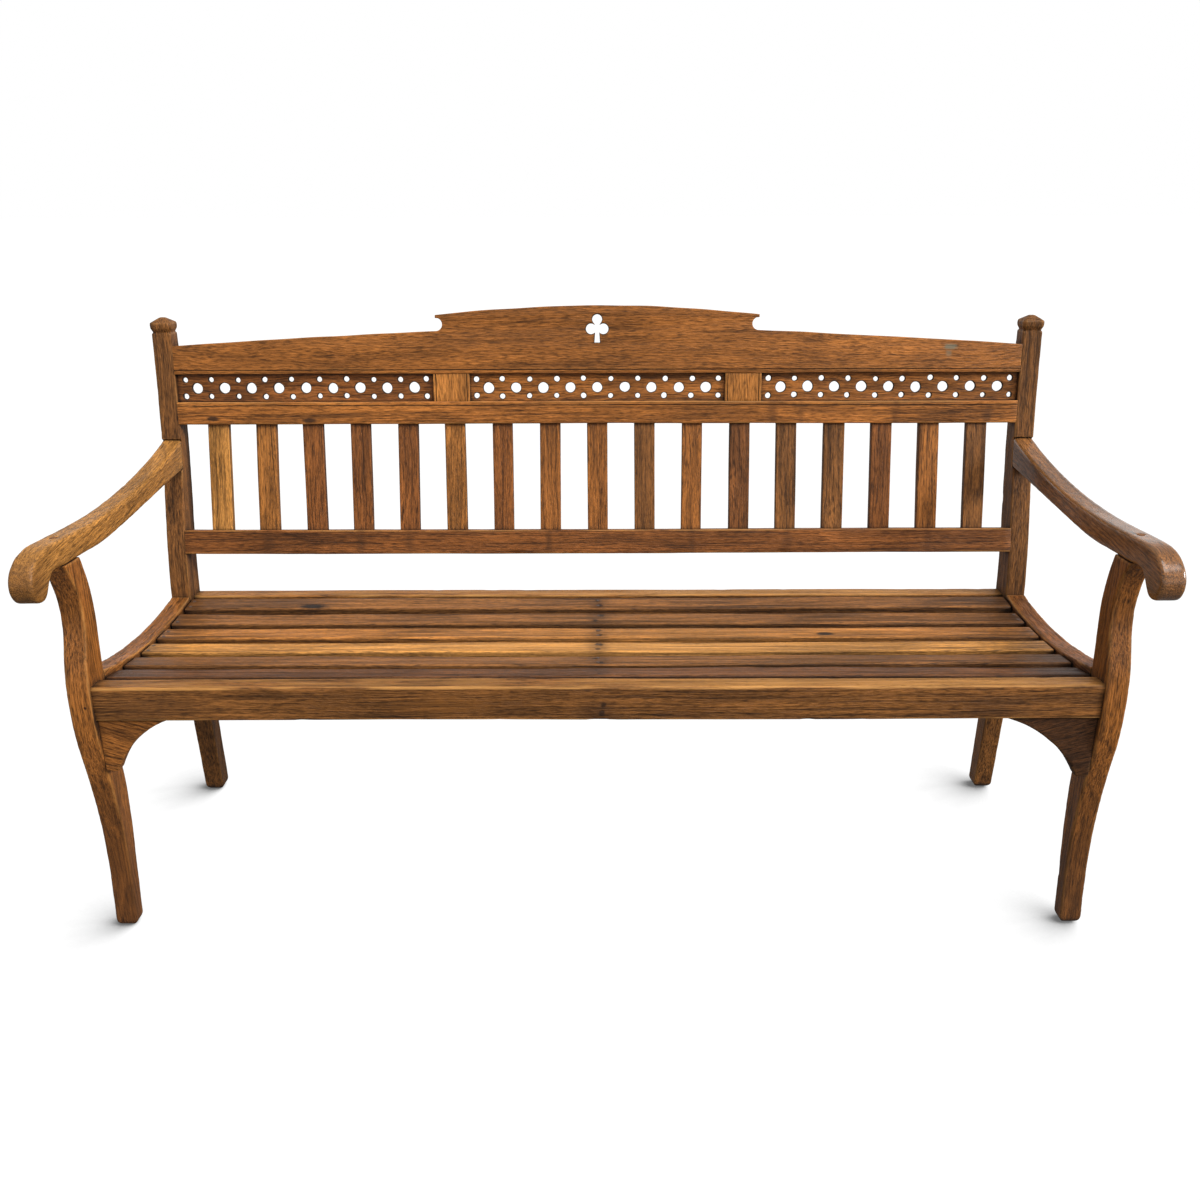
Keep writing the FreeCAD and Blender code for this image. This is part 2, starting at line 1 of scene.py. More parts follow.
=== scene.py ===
"""Looks of the slatted hardwood bench.

Every timber that shows is rebuilt around its CAD node as a worn, hand-finished board with its own piece of
wood: growth rings, fibres, pores, stains and rubbed edges. Lengths are in metres, X runs along the bench,
Y runs from front to back and Z is up.
"""

import math

import bmesh
import bpy
import numpy as np
from mathutils import Matrix, Vector


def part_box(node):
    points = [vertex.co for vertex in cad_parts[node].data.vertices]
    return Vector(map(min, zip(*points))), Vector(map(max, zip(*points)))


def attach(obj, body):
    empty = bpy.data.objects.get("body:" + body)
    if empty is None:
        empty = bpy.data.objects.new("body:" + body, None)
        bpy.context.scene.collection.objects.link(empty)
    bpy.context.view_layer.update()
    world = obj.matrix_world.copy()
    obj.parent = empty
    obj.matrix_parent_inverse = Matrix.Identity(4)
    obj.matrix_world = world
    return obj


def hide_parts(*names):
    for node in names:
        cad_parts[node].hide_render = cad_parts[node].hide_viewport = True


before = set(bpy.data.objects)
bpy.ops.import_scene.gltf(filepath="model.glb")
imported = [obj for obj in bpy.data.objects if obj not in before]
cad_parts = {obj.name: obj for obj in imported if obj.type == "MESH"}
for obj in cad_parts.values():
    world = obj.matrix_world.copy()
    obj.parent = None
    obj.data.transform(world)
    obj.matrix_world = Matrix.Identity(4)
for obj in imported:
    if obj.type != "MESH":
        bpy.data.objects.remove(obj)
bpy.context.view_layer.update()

MM = 0.001

# --- sizes shared with the design
INNER_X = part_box("front_leg_right")[0].x  # inner face of legs and posts
OUTER_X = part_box("front_leg_right")[1].x
LOWER_RAKE = math.radians(12.9)  # lean of the slatted part of the back
UPPER_RAKE = math.radians(7.1)  # lean of the crest and the frieze
BACK_RAIL_THICK = 28 * MM  # crest, mid rail and lower back rail
LOWER_RAIL_HIGH = 44.1 * MM
MID_RAIL_HIGH = 40.3 * MM
SEAT_RAIL_THICK = 33 * MM
FRONT_RAIL_HIGH = 55 * MM
REAR_RAIL_HIGH = 43 * MM
BACK_SLAT_WIDE, BACK_SLAT_THICK = 37 * MM, 14 * MM
SEAT_SLAT_WIDE, SEAT_SLAT_THICK = 46 * MM, 18 * MM
SEAT_DISH_RADIUS = 1.470
SEAT_LOW_Y = 0.059  # where the dished seat is level
SEAT_SLATS = 6
BACK_SLATS = 17
FOOT_ROUND = 14 * MM  # worn edges of the feet
JOINT_OVERLAP = 1.5 * MM  # how far a shoulder is let into its neighbour
HALF_RAIL = INNER_X + JOINT_OVERLAP  # half the length of a rail between the side frames
GROOVE_WIDE, GROOVE_DEEP = 1.6 * MM, 1.2 * MM  # scribed line
BEAD_IN = 6 * MM  # from the arris of a rail to its scribed line

# --- colours of the wood, linear
GOLDEN = (0.36, 0.158, 0.034)
HONEY = (0.28, 0.106, 0.021)
AMBER = (0.225, 0.079, 0.015)
RUSSET = (0.170, 0.057, 0.012)
BROWN = (0.152, 0.059, 0.014)
CHESTNUT = (0.120, 0.042, 0.010)
UMBER = (0.098, 0.036, 0.010)
DUSKY = (0.052, 0.022, 0.009)
NEAR_BLACK = (0.012, 0.007, 0.005)
RUBBED = (0.50, 0.235, 0.062)
GREY_GREEN = (0.19, 0.18, 0.12)

# --- figure of the wood
# Waves per metre of each kind of noise: along the grain, across it and through it.
WANDER = (3.2, 11.0, 11.0)
RING_WOBBLE = (2.0, 60.0, 60.0)
RING_FADE = (3.0, 26.0, 26.0)
BROAD_FIBRE = (2.4, 95.0, 95.0)
FINE_FIBRE = (6.0, 400.0, 400.0)
HAIR_FIBRE = (30.0, 1300.0, 1300.0)
DASHES = (60.0, 520.0, 520.0)
PORE_BANDS = (9.0, 40.0, 40.0)
BLOTCHES = (4.0, 18.0, 18.0)
RUBBED_PATCHES = (9.0, 130.0, 130.0)
NOOK_PATCHES = (30.0, 120.0, 120.0)
RAGGED_RIM = (110.0, 110.0, 110.0)
LOG_TAPER = 0.012  # growth of the ring radius, along the log
FRAME_LOG = (0.02, -0.07)  # heart of the tree from the middle of a shaped timber
BLOTCH_CONTRAST = 1.6
NOOK_DISTANCE = 25 * MM  # how near another face darkens the colour: grimy joints, and painted shade in the nooks
MIDDLE = 0.5  # mean of all the noises

# --- wear, and painted shade
# Edge attribute of a mesh: 1 is a rubbed arris, 0 a plain face, and below the start value it turns black,
# as painted shade in the gaps between slats and in scribed lines, and as oil-dark rims and walls round the
# holes.
SHADE_AND_OIL_STARTS, SHADE_AND_OIL_FULL = -0.10, -0.45
SLAT_GAP_SHADE = -0.27  # painted shade on the sides of the back slats, which face the gaps between them
# Scribed lines: painted shade on the floor of the groove, and worn lips.
GROOVE_SHADE, GROOVE_LIP_WEAR = -0.8, 0.3
LONG_SWELL, SHORT_SWELL = 0.045, 0.014  # wavelengths of the unevenness of a face
DENT_WAVE = 0.030  # and of the dents in its edges


def tinted(colour, factor):
    return tuple(part * factor for part in colour)


# --- node trees
class Graph:
    """Short forms for making and joining shader nodes."""

    def __init__(self, tree):
        self.tree = tree

    def node(self, kind, **settings):
        made = self.tree.nodes.new(kind)
        for key, value in settings.items():
            setattr(made, key, value)
        return made

    def feed(self, socket, value):
        if isinstance(value, bpy.types.NodeSocket):
            self.tree.links.new(value, socket)
        elif isinstance(value, (tuple, list)) and len(value) == 3 and socket.type == "RGBA":
            socket.default_value = (*value, 1.0)
        else:
            socket.default_value = value

    def math(self, operation, *values, clamp=False):
        made = self.node("ShaderNodeMath", operation=operation, use_clamp=clamp)
        for socket, value in zip(made.inputs, values):
            self.feed(socket, value)
        return made.outputs[0]

    def vector(self, operation, *values):
        made = self.node("ShaderNodeVectorMath", operation=operation)
        for socket, value in zip(made.inputs, values):
            self.feed(socket, value)
        return made.outputs[0]

    def noise(self, where, stretch, detail=3.0, roughness=0.55, output="Fac"):
        """Noise from 0 to 1 over the scaled coordinates."""
        made = self.node("ShaderNodeTexNoise")
        self.feed(made.inputs["Vector"], self.vector("MULTIPLY", where, stretch))
        made.inputs["Scale"].default_value = 1.0
        made.inputs["Detail"].default_value = detail
        made.inputs["Roughness"].default_value = roughness
        return made.outputs[output]

    def scaled(self, vector, factor):
        made = self.node("ShaderNodeVectorMath", operation="SCALE")
        self.feed(made.inputs[0], vector)
        self.feed(made.inputs["Scale"], factor)
        return made.outputs[0]

    def swing(self, noise, amount):
        """Noise turned into a swing to either side of zero."""
        return self.math("MULTIPLY", self.math("SUBTRACT", noise, MIDDLE), amount)

    def span(self, value, low, high, to_low=0.0, to_high=1.0, smooth=False):
        """Value mapped from low..high to to_low..to_high, and held at the ends."""
        made = self.node("ShaderNodeMapRange", clamp=True)
        if smooth:
            made.interpolation_type = "SMOOTHSTEP"
        for name, item in (("Value", value), ("From Min", low), ("From Max", high), ("To Min", to_low),
                           ("To Max", to_high)):
            self.feed(made.inputs[name], item)
        return made.outputs["Result"]

    def mix(self, share, first, second):
        made = self.node("ShaderNodeMix", data_type="RGBA", clamp_factor=True)
        colour_a, colour_b, colour_out = made.inputs[6], made.inputs[7], made.outputs[2]
        self.feed(made.inputs["Factor"], share)
        self.feed(colour_a, first)
        self.feed(colour_b, second)
        return colour_out


def add_sockets(tree, side, kind, names):
    for name in names:
        tree.interface.new_socket(name=name, in_out=side, socket_type="NodeSocket" + kind)


def timber_group():
    """One node group for all the wood, laid out by the mesh attribute grain: along, across, through."""
    tree = bpy.data.node_groups.new("Timber", "ShaderNodeTree")
    add_sockets(tree, "INPUT", "Color", ("Light", "Body", "Dark"))
    add_sockets(tree, "INPUT", "Float", ("Ring Width", "Rings", "Wave", "Streaks", "Pores", "Grime", "Wear",
                                         "Roughness"))
    add_sockets(tree, "OUTPUT", "Color", ("Color",))
    add_sockets(tree, "OUTPUT", "Float", ("Roughness", "Height"))
    g = Graph(tree)
    given = g.node("NodeGroupInput").outputs
    out = g.node("NodeGroupOutput")

    grain = g.node("ShaderNodeAttribute", attribute_name="grain").outputs["Vector"]

    # Slow wandering of the fibres bends the rings into waves and cathedrals.
    wander = g.noise(grain, WANDER, 2.0, 0.5, output="Color")
    pull = g.scaled(g.vector("SUBTRACT", wander, (MIDDLE, MIDDLE, MIDDLE)), given["Wave"])
    bent = g.vector("ADD", grain, g.vector("MULTIPLY", pull, (0.0, 1.0, 1.0)))

    # Rings round the pith, which lies along the first axis; the log tapers slightly.
    parts = g.node("ShaderNodeSeparateXYZ")
    g.feed(parts.inputs[0], bent)
    along, across, through = parts.outputs
    radius = g.math("SQRT", g.math("ADD", g.math("MULTIPLY", across, across),
                                   g.math("MULTIPLY", through, through)))
    radius = g.math("ADD", radius, g.math("MULTIPLY", along, LOG_TAPER))
    count = g.math("DIVIDE", radius, given["Ring Width"])
    count = g.math("ADD", count, g.math("MULTIPLY", g.noise(bent, RING_WOBBLE, 2.0), 0.9))
    phase = g.math("FRACT", count)
    late = g.math("MULTIPLY", g.span(phase, 0.15, 0.86, smooth=True), g.span(phase, 0.90, 1.0, 1.0, 0.0))
    late = g.math("MULTIPLY", late, g.span(g.noise(bent, RING_FADE, 2.0), 0.30, 0.70, 0.15, 1.0))

    # Fibres: long streaks at three widths, the finest about a millimetre across.
    broad = g.noise(bent, BROAD_FIBRE, 5.0, 0.62)
    fine = g.noise(bent, FINE_FIBRE, 3.0, 0.65)
    hair = g.noise(bent, HAIR_FIBRE, 2.0, 0.6)
    streak = g.math("ADD", g.math("MULTIPLY", broad, 0.45), g.math("MULTIPLY", fine, 0.55))
    streak = g.span(streak, 0.42, 0.58)
    gap = g.span(broad, 0.28, 0.47, 1.0, 0.0)
    thread = g.span(fine, 0.35, 0.45, 1.0, 0.0)
    fleck = g.noise(bent, DASHES, 3.0, 0.6)

    # Open pores: short dark dashes along the grain, gathered in bands.
    pore = g.math("MULTIPLY", g.span(g.noise(bent, DASHES, 2.0, 0.5), 0.56, 0.64),
                  g.span(g.noise(bent, PORE_BANDS, 2.0), 0.35, 0.65, 0.3, 1.0))

    # The colour runs from light to body in the streaks, and to dark in the rings and between the fibres.
    colour = g.mix(g.math("MULTIPLY", g.math("SUBTRACT", 1.0, streak), given["Streaks"], clamp=True),
                   given["Light"], given["Body"])
    colour = g.mix(g.math("MULTIPLY", late, given["Rings"]), colour, given["Dark"])
    for dark_line, strength in ((gap, 0.75), (thread, 0.8)):
        share = g.math("MULTIPLY", dark_line, g.math("MULTIPLY", given["Streaks"], strength))
        colour = g.mix(share, colour, given["Dark"])
    colour = g.mix(g.math("MULTIPLY", pore, given["Pores"]), colour, NEAR_BLACK)
    tone = g.math("ADD", 1.0, g.swing(g.noise(grain, BLOTCHES, 4.0, 0.65), BLOTCH_CONTRAST))
    tone = g.math("MULTIPLY", tone, g.span(hair, 0.3, 0.7, 0.86, 1.14))
    tone = g.math("MULTIPLY", tone, g.span(fleck, 0.35, 0.65, 0.40, 1.60))
    colour = g.scaled(colour, g.math("MAXIMUM", tone, 0.2))

    # Rubbed edges are paler, blackened faces are painted shade and oil-dark rims, and nooks darken.
    edge = g.node("ShaderNodeAttribute", attribute_name="edge").outputs["Fac"]
    rubbed = g.math("MULTIPLY", edge, g.span(g.noise(grain, RUBBED_PATCHES, 4.0), 0.40, 0.60))
    colour = g.mix(g.math("MULTIPLY", rubbed, given["Wear"], clamp=True), colour, RUBBED)
    # Negative edge values turn black: painted shade in slat gaps and scribed lines, oil-dark rims round
    # holes.
    colour = g.mix(g.span(edge, SHADE_AND_OIL_FULL, SHADE_AND_OIL_STARTS, 0.88, 0.0), colour, NEAR_BLACK)
    # Painted shade: the AO node darkens the colour where another face is near; it also stands for grimy
    # joints.
    shade = g.node("ShaderNodeAmbientOcclusion", samples=6)
    shade.inputs["Distance"].default_value = NOOK_DISTANCE
    nook = g.span(shade.outputs["AO"], 0.30, 0.85, 1.0, 0.0)
    ragged = g.span(g.noise(grain, NOOK_PATCHES, 3.0), 0.3, 0.7, 0.7, 1.4)
    nook_grime_and_shade = g.math("MULTIPLY", g.math("MULTIPLY", nook, ragged), given["Grime"], clamp=True)
    colour = g.mix(nook_grime_and_shade, colour, NEAR_BLACK)

    rough = g.math("ADD", given["Roughness"], g.math("MULTIPLY", g.math("SUBTRACT", 0.5, streak), 0.14))
    rough = g.math("ADD", rough, g.math("MULTIPLY", pore, 0.18))
    rough = g.math("ADD", rough, g.math("MULTIPLY", nook_grime_and_shade, 0.3), clamp=True)
    height = g.math("ADD", g.math("MULTIPLY", streak, 0.5), g.math("MULTIPLY", hair, 0.25))
    height = g.math("SUBTRACT", height, g.math("MULTIPLY", pore, 0.7))
    height = g.math("SUBTRACT", height, g.math("MULTIPLY", late, 0.15))

    g.feed(out.inputs["Color"], colour)
    g.feed(out.inputs["Roughness"], rough)
    g.feed(out.inputs["Height"], height)
    return tree


def mark_group():
    """A soft-edged spot at a place on the bench. Output: how strongly it shows."""
    tree = bpy.data.node_groups.new("Mark", "ShaderNodeTree")
    add_sockets(tree, "INPUT", "Vector", ("Centre", "Reach"))
    add_sockets(tree, "INPUT", "Float", ("Ragged", "Soft"))
    add_sockets(tree, "OUTPUT", "Float", ("Strength",))
    g = Graph(tree)
    given = g.node("NodeGroupInput").outputs
    out = g.node("NodeGroupOutput")
    where = g.node("ShaderNodeTexCoord").outputs["Object"]
    offset = g.vector("DIVIDE", g.vector("SUBTRACT", where, given["Centre"]), given["Reach"])
    length = g.node("ShaderNodeVectorMath", operation="LENGTH")
    g.feed(length.inputs[0], offset)
    distance = g.math("ADD", length.outputs["Value"], g.swing(g.noise(where, RAGGED_RIM), given["Ragged"]))
    strength = g.span(distance, g.math("SUBTRACT", 1.0, given["Soft"]), 1.0, 1.0, 0.0, smooth=True)
    g.feed(out.inputs["Strength"], strength)
    return tree


TIMBER = timber_group()
MARK = mark_group()


def new_material(name):
    """A material, its graph and its Principled shader."""
    material = bpy.data.materials.new(name)
    material.use_nodes = True
    return material, Graph(material.node_tree), material.node_tree.nodes["Principled BSDF"]


def bumped(g, shader, height, strength, depth):
    bump = g.node("ShaderNodeBump")
    bump.inputs["Strength"].default_value = strength
    bump.inputs["Distance"].default_value = depth
    g.feed(bump.inputs["Height"], height)
    g.feed(shader.inputs["Normal"], bump.outputs["Normal"])


def group(g, tree, **values):
    """A node group with its inputs set; an underscore in a name stands for a space."""
    made = g.node("ShaderNodeGroup", node_tree=tree)
    for name, value in values.items():
        g.feed(made.inputs[name.replace("_", " ")], value)
    return made.outputs


def wood(name, body, ring_width=7 * MM, rings=0.45, wave=0.022, streaks=0.9, pores=0.45, grime_and_shade=0.9, wear=0.5,
         roughness=0.48, coat=0.06, polish=0.30, light=1.75, dark=0.20, marks=()):
    """A material for one timber, from its middle colour; light and dark scale that colour.

    marks: (colour, centre, reach, strength, ragged, soft) for stains, knots, rubbed places and painted shade."""
    material, g, shader = new_material(name)
    timber = group(g, TIMBER, Light=tinted(body, light), Body=body, Dark=tinted(body, dark),
                   Ring_Width=ring_width, Rings=rings, Wave=wave, Streaks=streaks, Pores=pores, Grime=grime_and_shade,
                   Wear=wear, Roughness=roughness)
    colour = timber["Color"]
    figure = g.math("ADD", 0.6, timber["Height"])
    for tint, centre, reach, strength, ragged, soft in marks:
        spot = group(g, MARK, Centre=centre, Reach=reach, Ragged=ragged, Soft=soft)
        colour = g.mix(g.math("MULTIPLY", spot["Strength"], strength), colour, g.scaled(tint, figure))
    g.feed(shader.inputs["Base Color"], colour)
    g.feed(shader.inputs["Roughness"], timber["Roughness"])
    shader.inputs["Specular IOR Level"].default_value = 0.20
    shader.inputs["Coat Weight"].default_value = coat
    shader.inputs["Coat Roughness"].default_value = polish
    bumped(g, shader, timber["Height"], 0.75, 0.9 * MM)
    return material


# --- shaping boards
def ripple(points, wavelength, seed, waves=9):
    """Smooth unevenness, about -1 to 1, at each point: a sum of randomly directed waves."""
    chance = np.random.default_rng(seed)
    total = np.zeros(len(points))
    for _ in range(waves):
        direction = chance.normal(size=3)
        direction /= np.linalg.norm(direction)
        number = 2 * math.pi / (wavelength * chance.uniform(0.7, 1.6))
        total += np.sin(points @ direction * number + chance.uniform(0, 2 * math.pi))
    return total / math.sqrt(waves)


def flat_rows(first, last, outward, grooves, wear):
    """Points along one flat of a section; grooves are placed from the middle of the board."""
    (u0, v0), (u1, v1) = first, last
    length = math.hypot(u1 - u0, v1 - v0)
    margin = min(1.2 * MM, 0.3 * length)
    count = max(1, round((length - 2 * margin) / (7 * MM)))
    gaps = [margin + (length - 2 * margin) * k / count for k in range(count + 1)]
    rows = [(u0 + (u1 - u0) * gap / length, v0 + (v1 - v0) * gap / length, *outward, wear) for gap in gaps]
    for place in grooves:
        rows = [row for row in rows if abs(row[0] - place) > GROOVE_WIDE]
        lip, floor = GROOVE_WIDE / 2, GROOVE_WIDE / 4
        # The floor of the groove takes painted shade.
        for offset, cut, worn in ((lip, 0, GROOVE_LIP_WEAR), (floor, GROOVE_DEEP, GROOVE_SHADE),
                                  (-floor, GROOVE_DEEP, GROOVE_SHADE), (-lip, 0, GROOVE_LIP_WEAR)):
            rows.append((place + offset, v0 - cut, *outward, worn))
        rows.sort(key=lambda row: -row[0])
    return rows


def section(width, thick, radii, grooves, flats):
    """Rounded rectangle as rows of (across, through, outward across, outward through, edge wear and shade).

    The rows and the four radii go round from the far upper corner. Grooves are in the upper face.
    flats is the wear of the upper, near, lower and far faces; below zero is blackened as painted shade, and
    so is the half of the arris beside it."""
    arc = 4
    signs = [(1, 1), (-1, 1), (-1, -1), (1, -1)]
    rows = []
    for index in range(4):
        corner = []
        for turn in (index, index + 1):
            su, sv = signs[turn % 4]
            radius = radii[turn % 4]
            corner.append((su * (width / 2 - radius), sv * (thick / 2 - radius), radius))
        (u0, v0, radius), (u1, v1, next_radius) = corner
        sides = (flats[index - 1], flats[index])
        for k in range(arc + 1):
            angle = math.radians(90 * (index + k / arc))
            out = (math.cos(angle), math.sin(angle))
            worn = sides[k > arc / 2] if min(sides) < 0 else 1.0
            rows.append((u0 + radius * out[0], v0 + radius * out[1], *out, worn))
        start = (u0 + radius * out[0], v0 + radius * out[1])
        stop = (u1 + next_radius * out[0], v1 + next_radius * out[1])
        rows += flat_rows(start, stop, out, grooves if index == 0 else (), flats[index])
    return np.array(rows)


def link(name, data):
    made = bpy.data.objects.new(name, data)
    bpy.context.scene.collection.objects.link(made)
    return made


def set_figure(mesh, points, log, seed, edge):
    """Store where each vertex lies in the log, and its edge wear. The seed picks the length of log."""
    shift = np.random.default_rng(seed).uniform(0, 3)
    grain = points + (shift, -log[0], -log[1])
    for name, kind, field, values in (("grain", "FLOAT_VECTOR", "vector", grain),
                                      ("edge", "FLOAT", "value", edge)):
        layer = mesh.attributes.new(name, kind, "POINT")
        layer.data.foreach_set(field, np.asarray(values, np.float32).ravel())


def evaluated(piece):
    """A new mesh with the piece's modifiers applied."""
    shown = piece.evaluated_get(bpy.context.evaluated_depsgraph_get())
    return bpy.data.meshes.new_from_object(shown)


def faced_outwards(mesh, weld=0.0):
    made = bmesh.new()
    made.from_mesh(mesh)
    if weld:
        bmesh.ops.remove_doubles(made, verts=made.verts, dist=weld)
    bmesh.ops.recalc_face_normals(made, faces=made.faces)
    made.to_mesh(mesh)
    made.free()


def finished(piece, material, node, smooth_angle=38.0):
    """Dress a rebuilt piece, and hide the node it stands for."""
    piece.data.materials.clear()
    piece.data.materials.append(material)
    piece.data.shade_smooth()
    piece.data.set_sharp_from_angle(angle=math.radians(smooth_angle))
    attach(piece, "root")
    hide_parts(node)


def board(name, length, width, thick, place, seed, log, radii=(2 * MM,) * 4, uneven=0.22 * MM, bow=0.6 * MM,
          end_round=1.5 * MM, station=12 * MM, grooves=(), flats=(0.0, 0.0, 0.0, 0.0)):
    """A straight board with worn edges. place maps (along, across, through) to the bench.

    log says where the heart of the tree lies from the board's middle: across and through."""
    ring = section(width, thick, radii, grooves, flats)
    inner = np.linspace(-length / 2 + end_round, length / 2 - end_round, max(3, round(length / station)))
    stations = [(-length / 2, end_round), (-length / 2 + 0.3 * end_round, 0.35 * end_round)]
    stations += [(a, 0.0) for a in inner]
    stations += [(length / 2 - 0.3 * end_round, 0.35 * end_round), (length / 2, end_round)]
    count = len(ring)
    points = np.zeros((len(stations) * count, 3))
    outward = np.zeros((len(points), 2))
    edge = np.zeros(len(points))
    for index, (along, inset) in enumerate(stations):
        rows = slice(index * count, (index + 1) * count)
        points[rows, 0] = along
        points[rows, 1:] = ring[:, :2] - ring[:, 2:4] * inset
        outward[rows] = ring[:, 2:4]
        edge[rows] = ring[:, 4] if inset == 0 else 0.4
    rest = points.copy()
    long_view = points * (0.22, 1.0, 1.0)
    swell = ripple(long_view, LONG_SWELL, seed) * uneven
    swell = swell + ripple(long_view, SHORT_SWELL, seed + 1) * uneven * 0.2
    dents = np.clip(ripple(points * (0.6, 1, 1), DENT_WAVE, seed + 2) - 0.9, 0, None) * 1.3 * MM
    dents *= edge > 0.9
    points[:, 1:] += outward * (swell - dents)[:, None]
    middle = np.stack([rest[:, 0], np.zeros(len(rest)), np.zeros(len(rest))], 1)
    points[:, 1] += ripple(middle, 0.9, seed + 3, 3) * bow
    points[:, 2] += ripple(middle, 0.8, seed + 4, 3) * bow * 0.7
    faces = []
    for index in range(len(stations) - 1):
        for k in range(count):
            a, b = index * count + k, index * count + (k + 1) % count
            faces.append((a, b, b + count, a + count))
    faces.append(tuple(range(count - 1, -1, -1)))
    faces.append(tuple(range((len(stations) - 1) * count, len(stations) * count)))
    mesh = bpy.data.meshes.new(name)
    mesh.from_pydata([tuple(p) for p in points], [], faces)
    set_figure(mesh, rest, log, seed + 5, edge)
    mesh.transform(place)
    faced_outwards(mesh)
    return link(name, mesh)


def axes(origin, along, across, through):
    """Matrix that lays a board out with these directions."""
    columns = [Vector(along).normalized(), Vector(across).normalized(), Vector(through).normalized()]
    turn = Matrix(columns).transposed().to_4x4()
    return Matrix.Translation(origin) @ turn


def centre_of(node):
    low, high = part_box(node)
    return (low + high) / 2


def leaning(rake):
    """Unit vectors up along a member that leans back by the rake, and square out of its front face."""
    return Vector((0, math.sin(rake), math.cos(rake))), Vector((0, -math.cos(rake), math.sin(rake)))


def along_bench(name, node, rake, height, thick, material, slot, seed, **shape):
    """Rail between the side frames; height is measured up the lean."""
    up, front = leaning(rake)
    place = axes(centre_of(node), (1, 0, 0), up, front)
    piece = board(name, 2 * HALF_RAIL, height, thick, place, seed, **shape)
    finished(piece, material, node)


# --- worn copies of the shaped timbers
def rounded_foot(points, radius):
    """Draw in the lowest part of a leg, so that the edges of its foot are round."""
    near = points[:, 2] < radius
    low = points[near]
    middle = low[:, :2].mean(0)
    reach = np.abs(low[:, :2] - middle).max(0)
    inset = radius - np.sqrt(radius ** 2 - (radius - np.clip(low[:, 2], 0, radius)) ** 2)
    points[near, :2] = middle + (low[:, :2] - middle) * (1 - inset[:, None] / reach)


def worn_copy(name, node, voxel, along, material, seed, soften=4, uneven=0.3 * MM, foot=0.0):
    """Remake a sawn and shaped timber as an even mesh with softened edges.

    along: the way the grain runs. foot: radius round the edges of a foot, if it has one."""
    piece = link(name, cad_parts[node].data.copy())
    remesh = piece.modifiers.new("even", "REMESH")
    remesh.mode = "VOXEL"
    remesh.voxel_size = voxel
    smooth = piece.modifiers.new("soft", "SMOOTH")
    smooth.factor = 0.5
    smooth.iterations = soften
    mesh = evaluated(piece)
    piece.data = mesh
    piece.modifiers.clear()
    count = len(mesh.vertices)
    points = np.empty(count * 3)
    mesh.vertices.foreach_get("co", points)
    points = points.reshape(-1, 3)
    normals = np.array([n.vector for n in mesh.vertex_normals])
    pairs = np.array([e.vertices[:] for e in mesh.edges])
    around = np.zeros((count, 3))
    links = np.zeros(count)
    for a, b in ((0, 1), (1, 0)):
        np.add.at(around, pairs[:, a], points[pairs[:, b]])
        np.add.at(links, pairs[:, a], 1)
    bulge = -np.einsum("ij,ij->i", around / links[:, None] - points, normals) / voxel
    edge = np.clip(bulge * 9, 0, 1)
    swell = ripple(points, LONG_SWELL, seed) * uneven + ripple(points, SHORT_SWELL, seed + 1) * uneven * 0.4
    dents = np.clip(ripple(points, DENT_WAVE, seed + 2) - 1.0, 0, None) * 1.2 * MM * edge
    points = points + normals * (swell - dents)[:, None]
    if foot:
        rounded_foot(points, foot)
    mesh.vertices.foreach_set("co", points.ravel())
    mesh.update()
    first = np.array(Vector(along).normalized())
    second = np.cross((0.0, 0.0, 1.0), first) if abs(first[2]) < 0.9 else np.array((1.0, 0.0, 0.0))
    second /= np.linalg.norm(second)
    third = np.cross(first, second)
    middle = points.mean(0)
    local = (points - middle) @ np.stack([first, second, third], 1)
    set_figure(mesh, local, FRAME_LOG, seed + 5, edge)
    finished(piece, material, node, 60.0)


# --- cut-out boards
def scribed(mesh, face):
    """Scribe the bead line into the face of the crest, from one end to the other."""
    body = link("scribed", mesh)
    bar = bmesh.new()
    bmesh.ops.create_cube(bar, size=1.0)
    stretch = Matrix.Diagonal((2.2 * HALF_RAIL, GROOVE_WIDE, 2 * GROOVE_DEEP, 1.0))
    line = Matrix.Translation((0, BEAD_IN + GROOVE_WIDE / 2, face))
    bmesh.ops.transform(bar, matrix=line @ stretch, verts=bar.verts)
    tool_mesh = bpy.data.meshes.new("groove")
    bar.to_mesh(tool_mesh)
    bar.free()
    tool = link("groove", tool_mesh)
    cut = body.modifiers.new("cut", "BOOLEAN")
    cut.operation = "DIFFERENCE"
    cut.solver = "EXACT"
    cut.object = tool
    result = evaluated(body)
    bpy.data.objects.remove(body)
    bpy.data.objects.remove(tool)
    return result


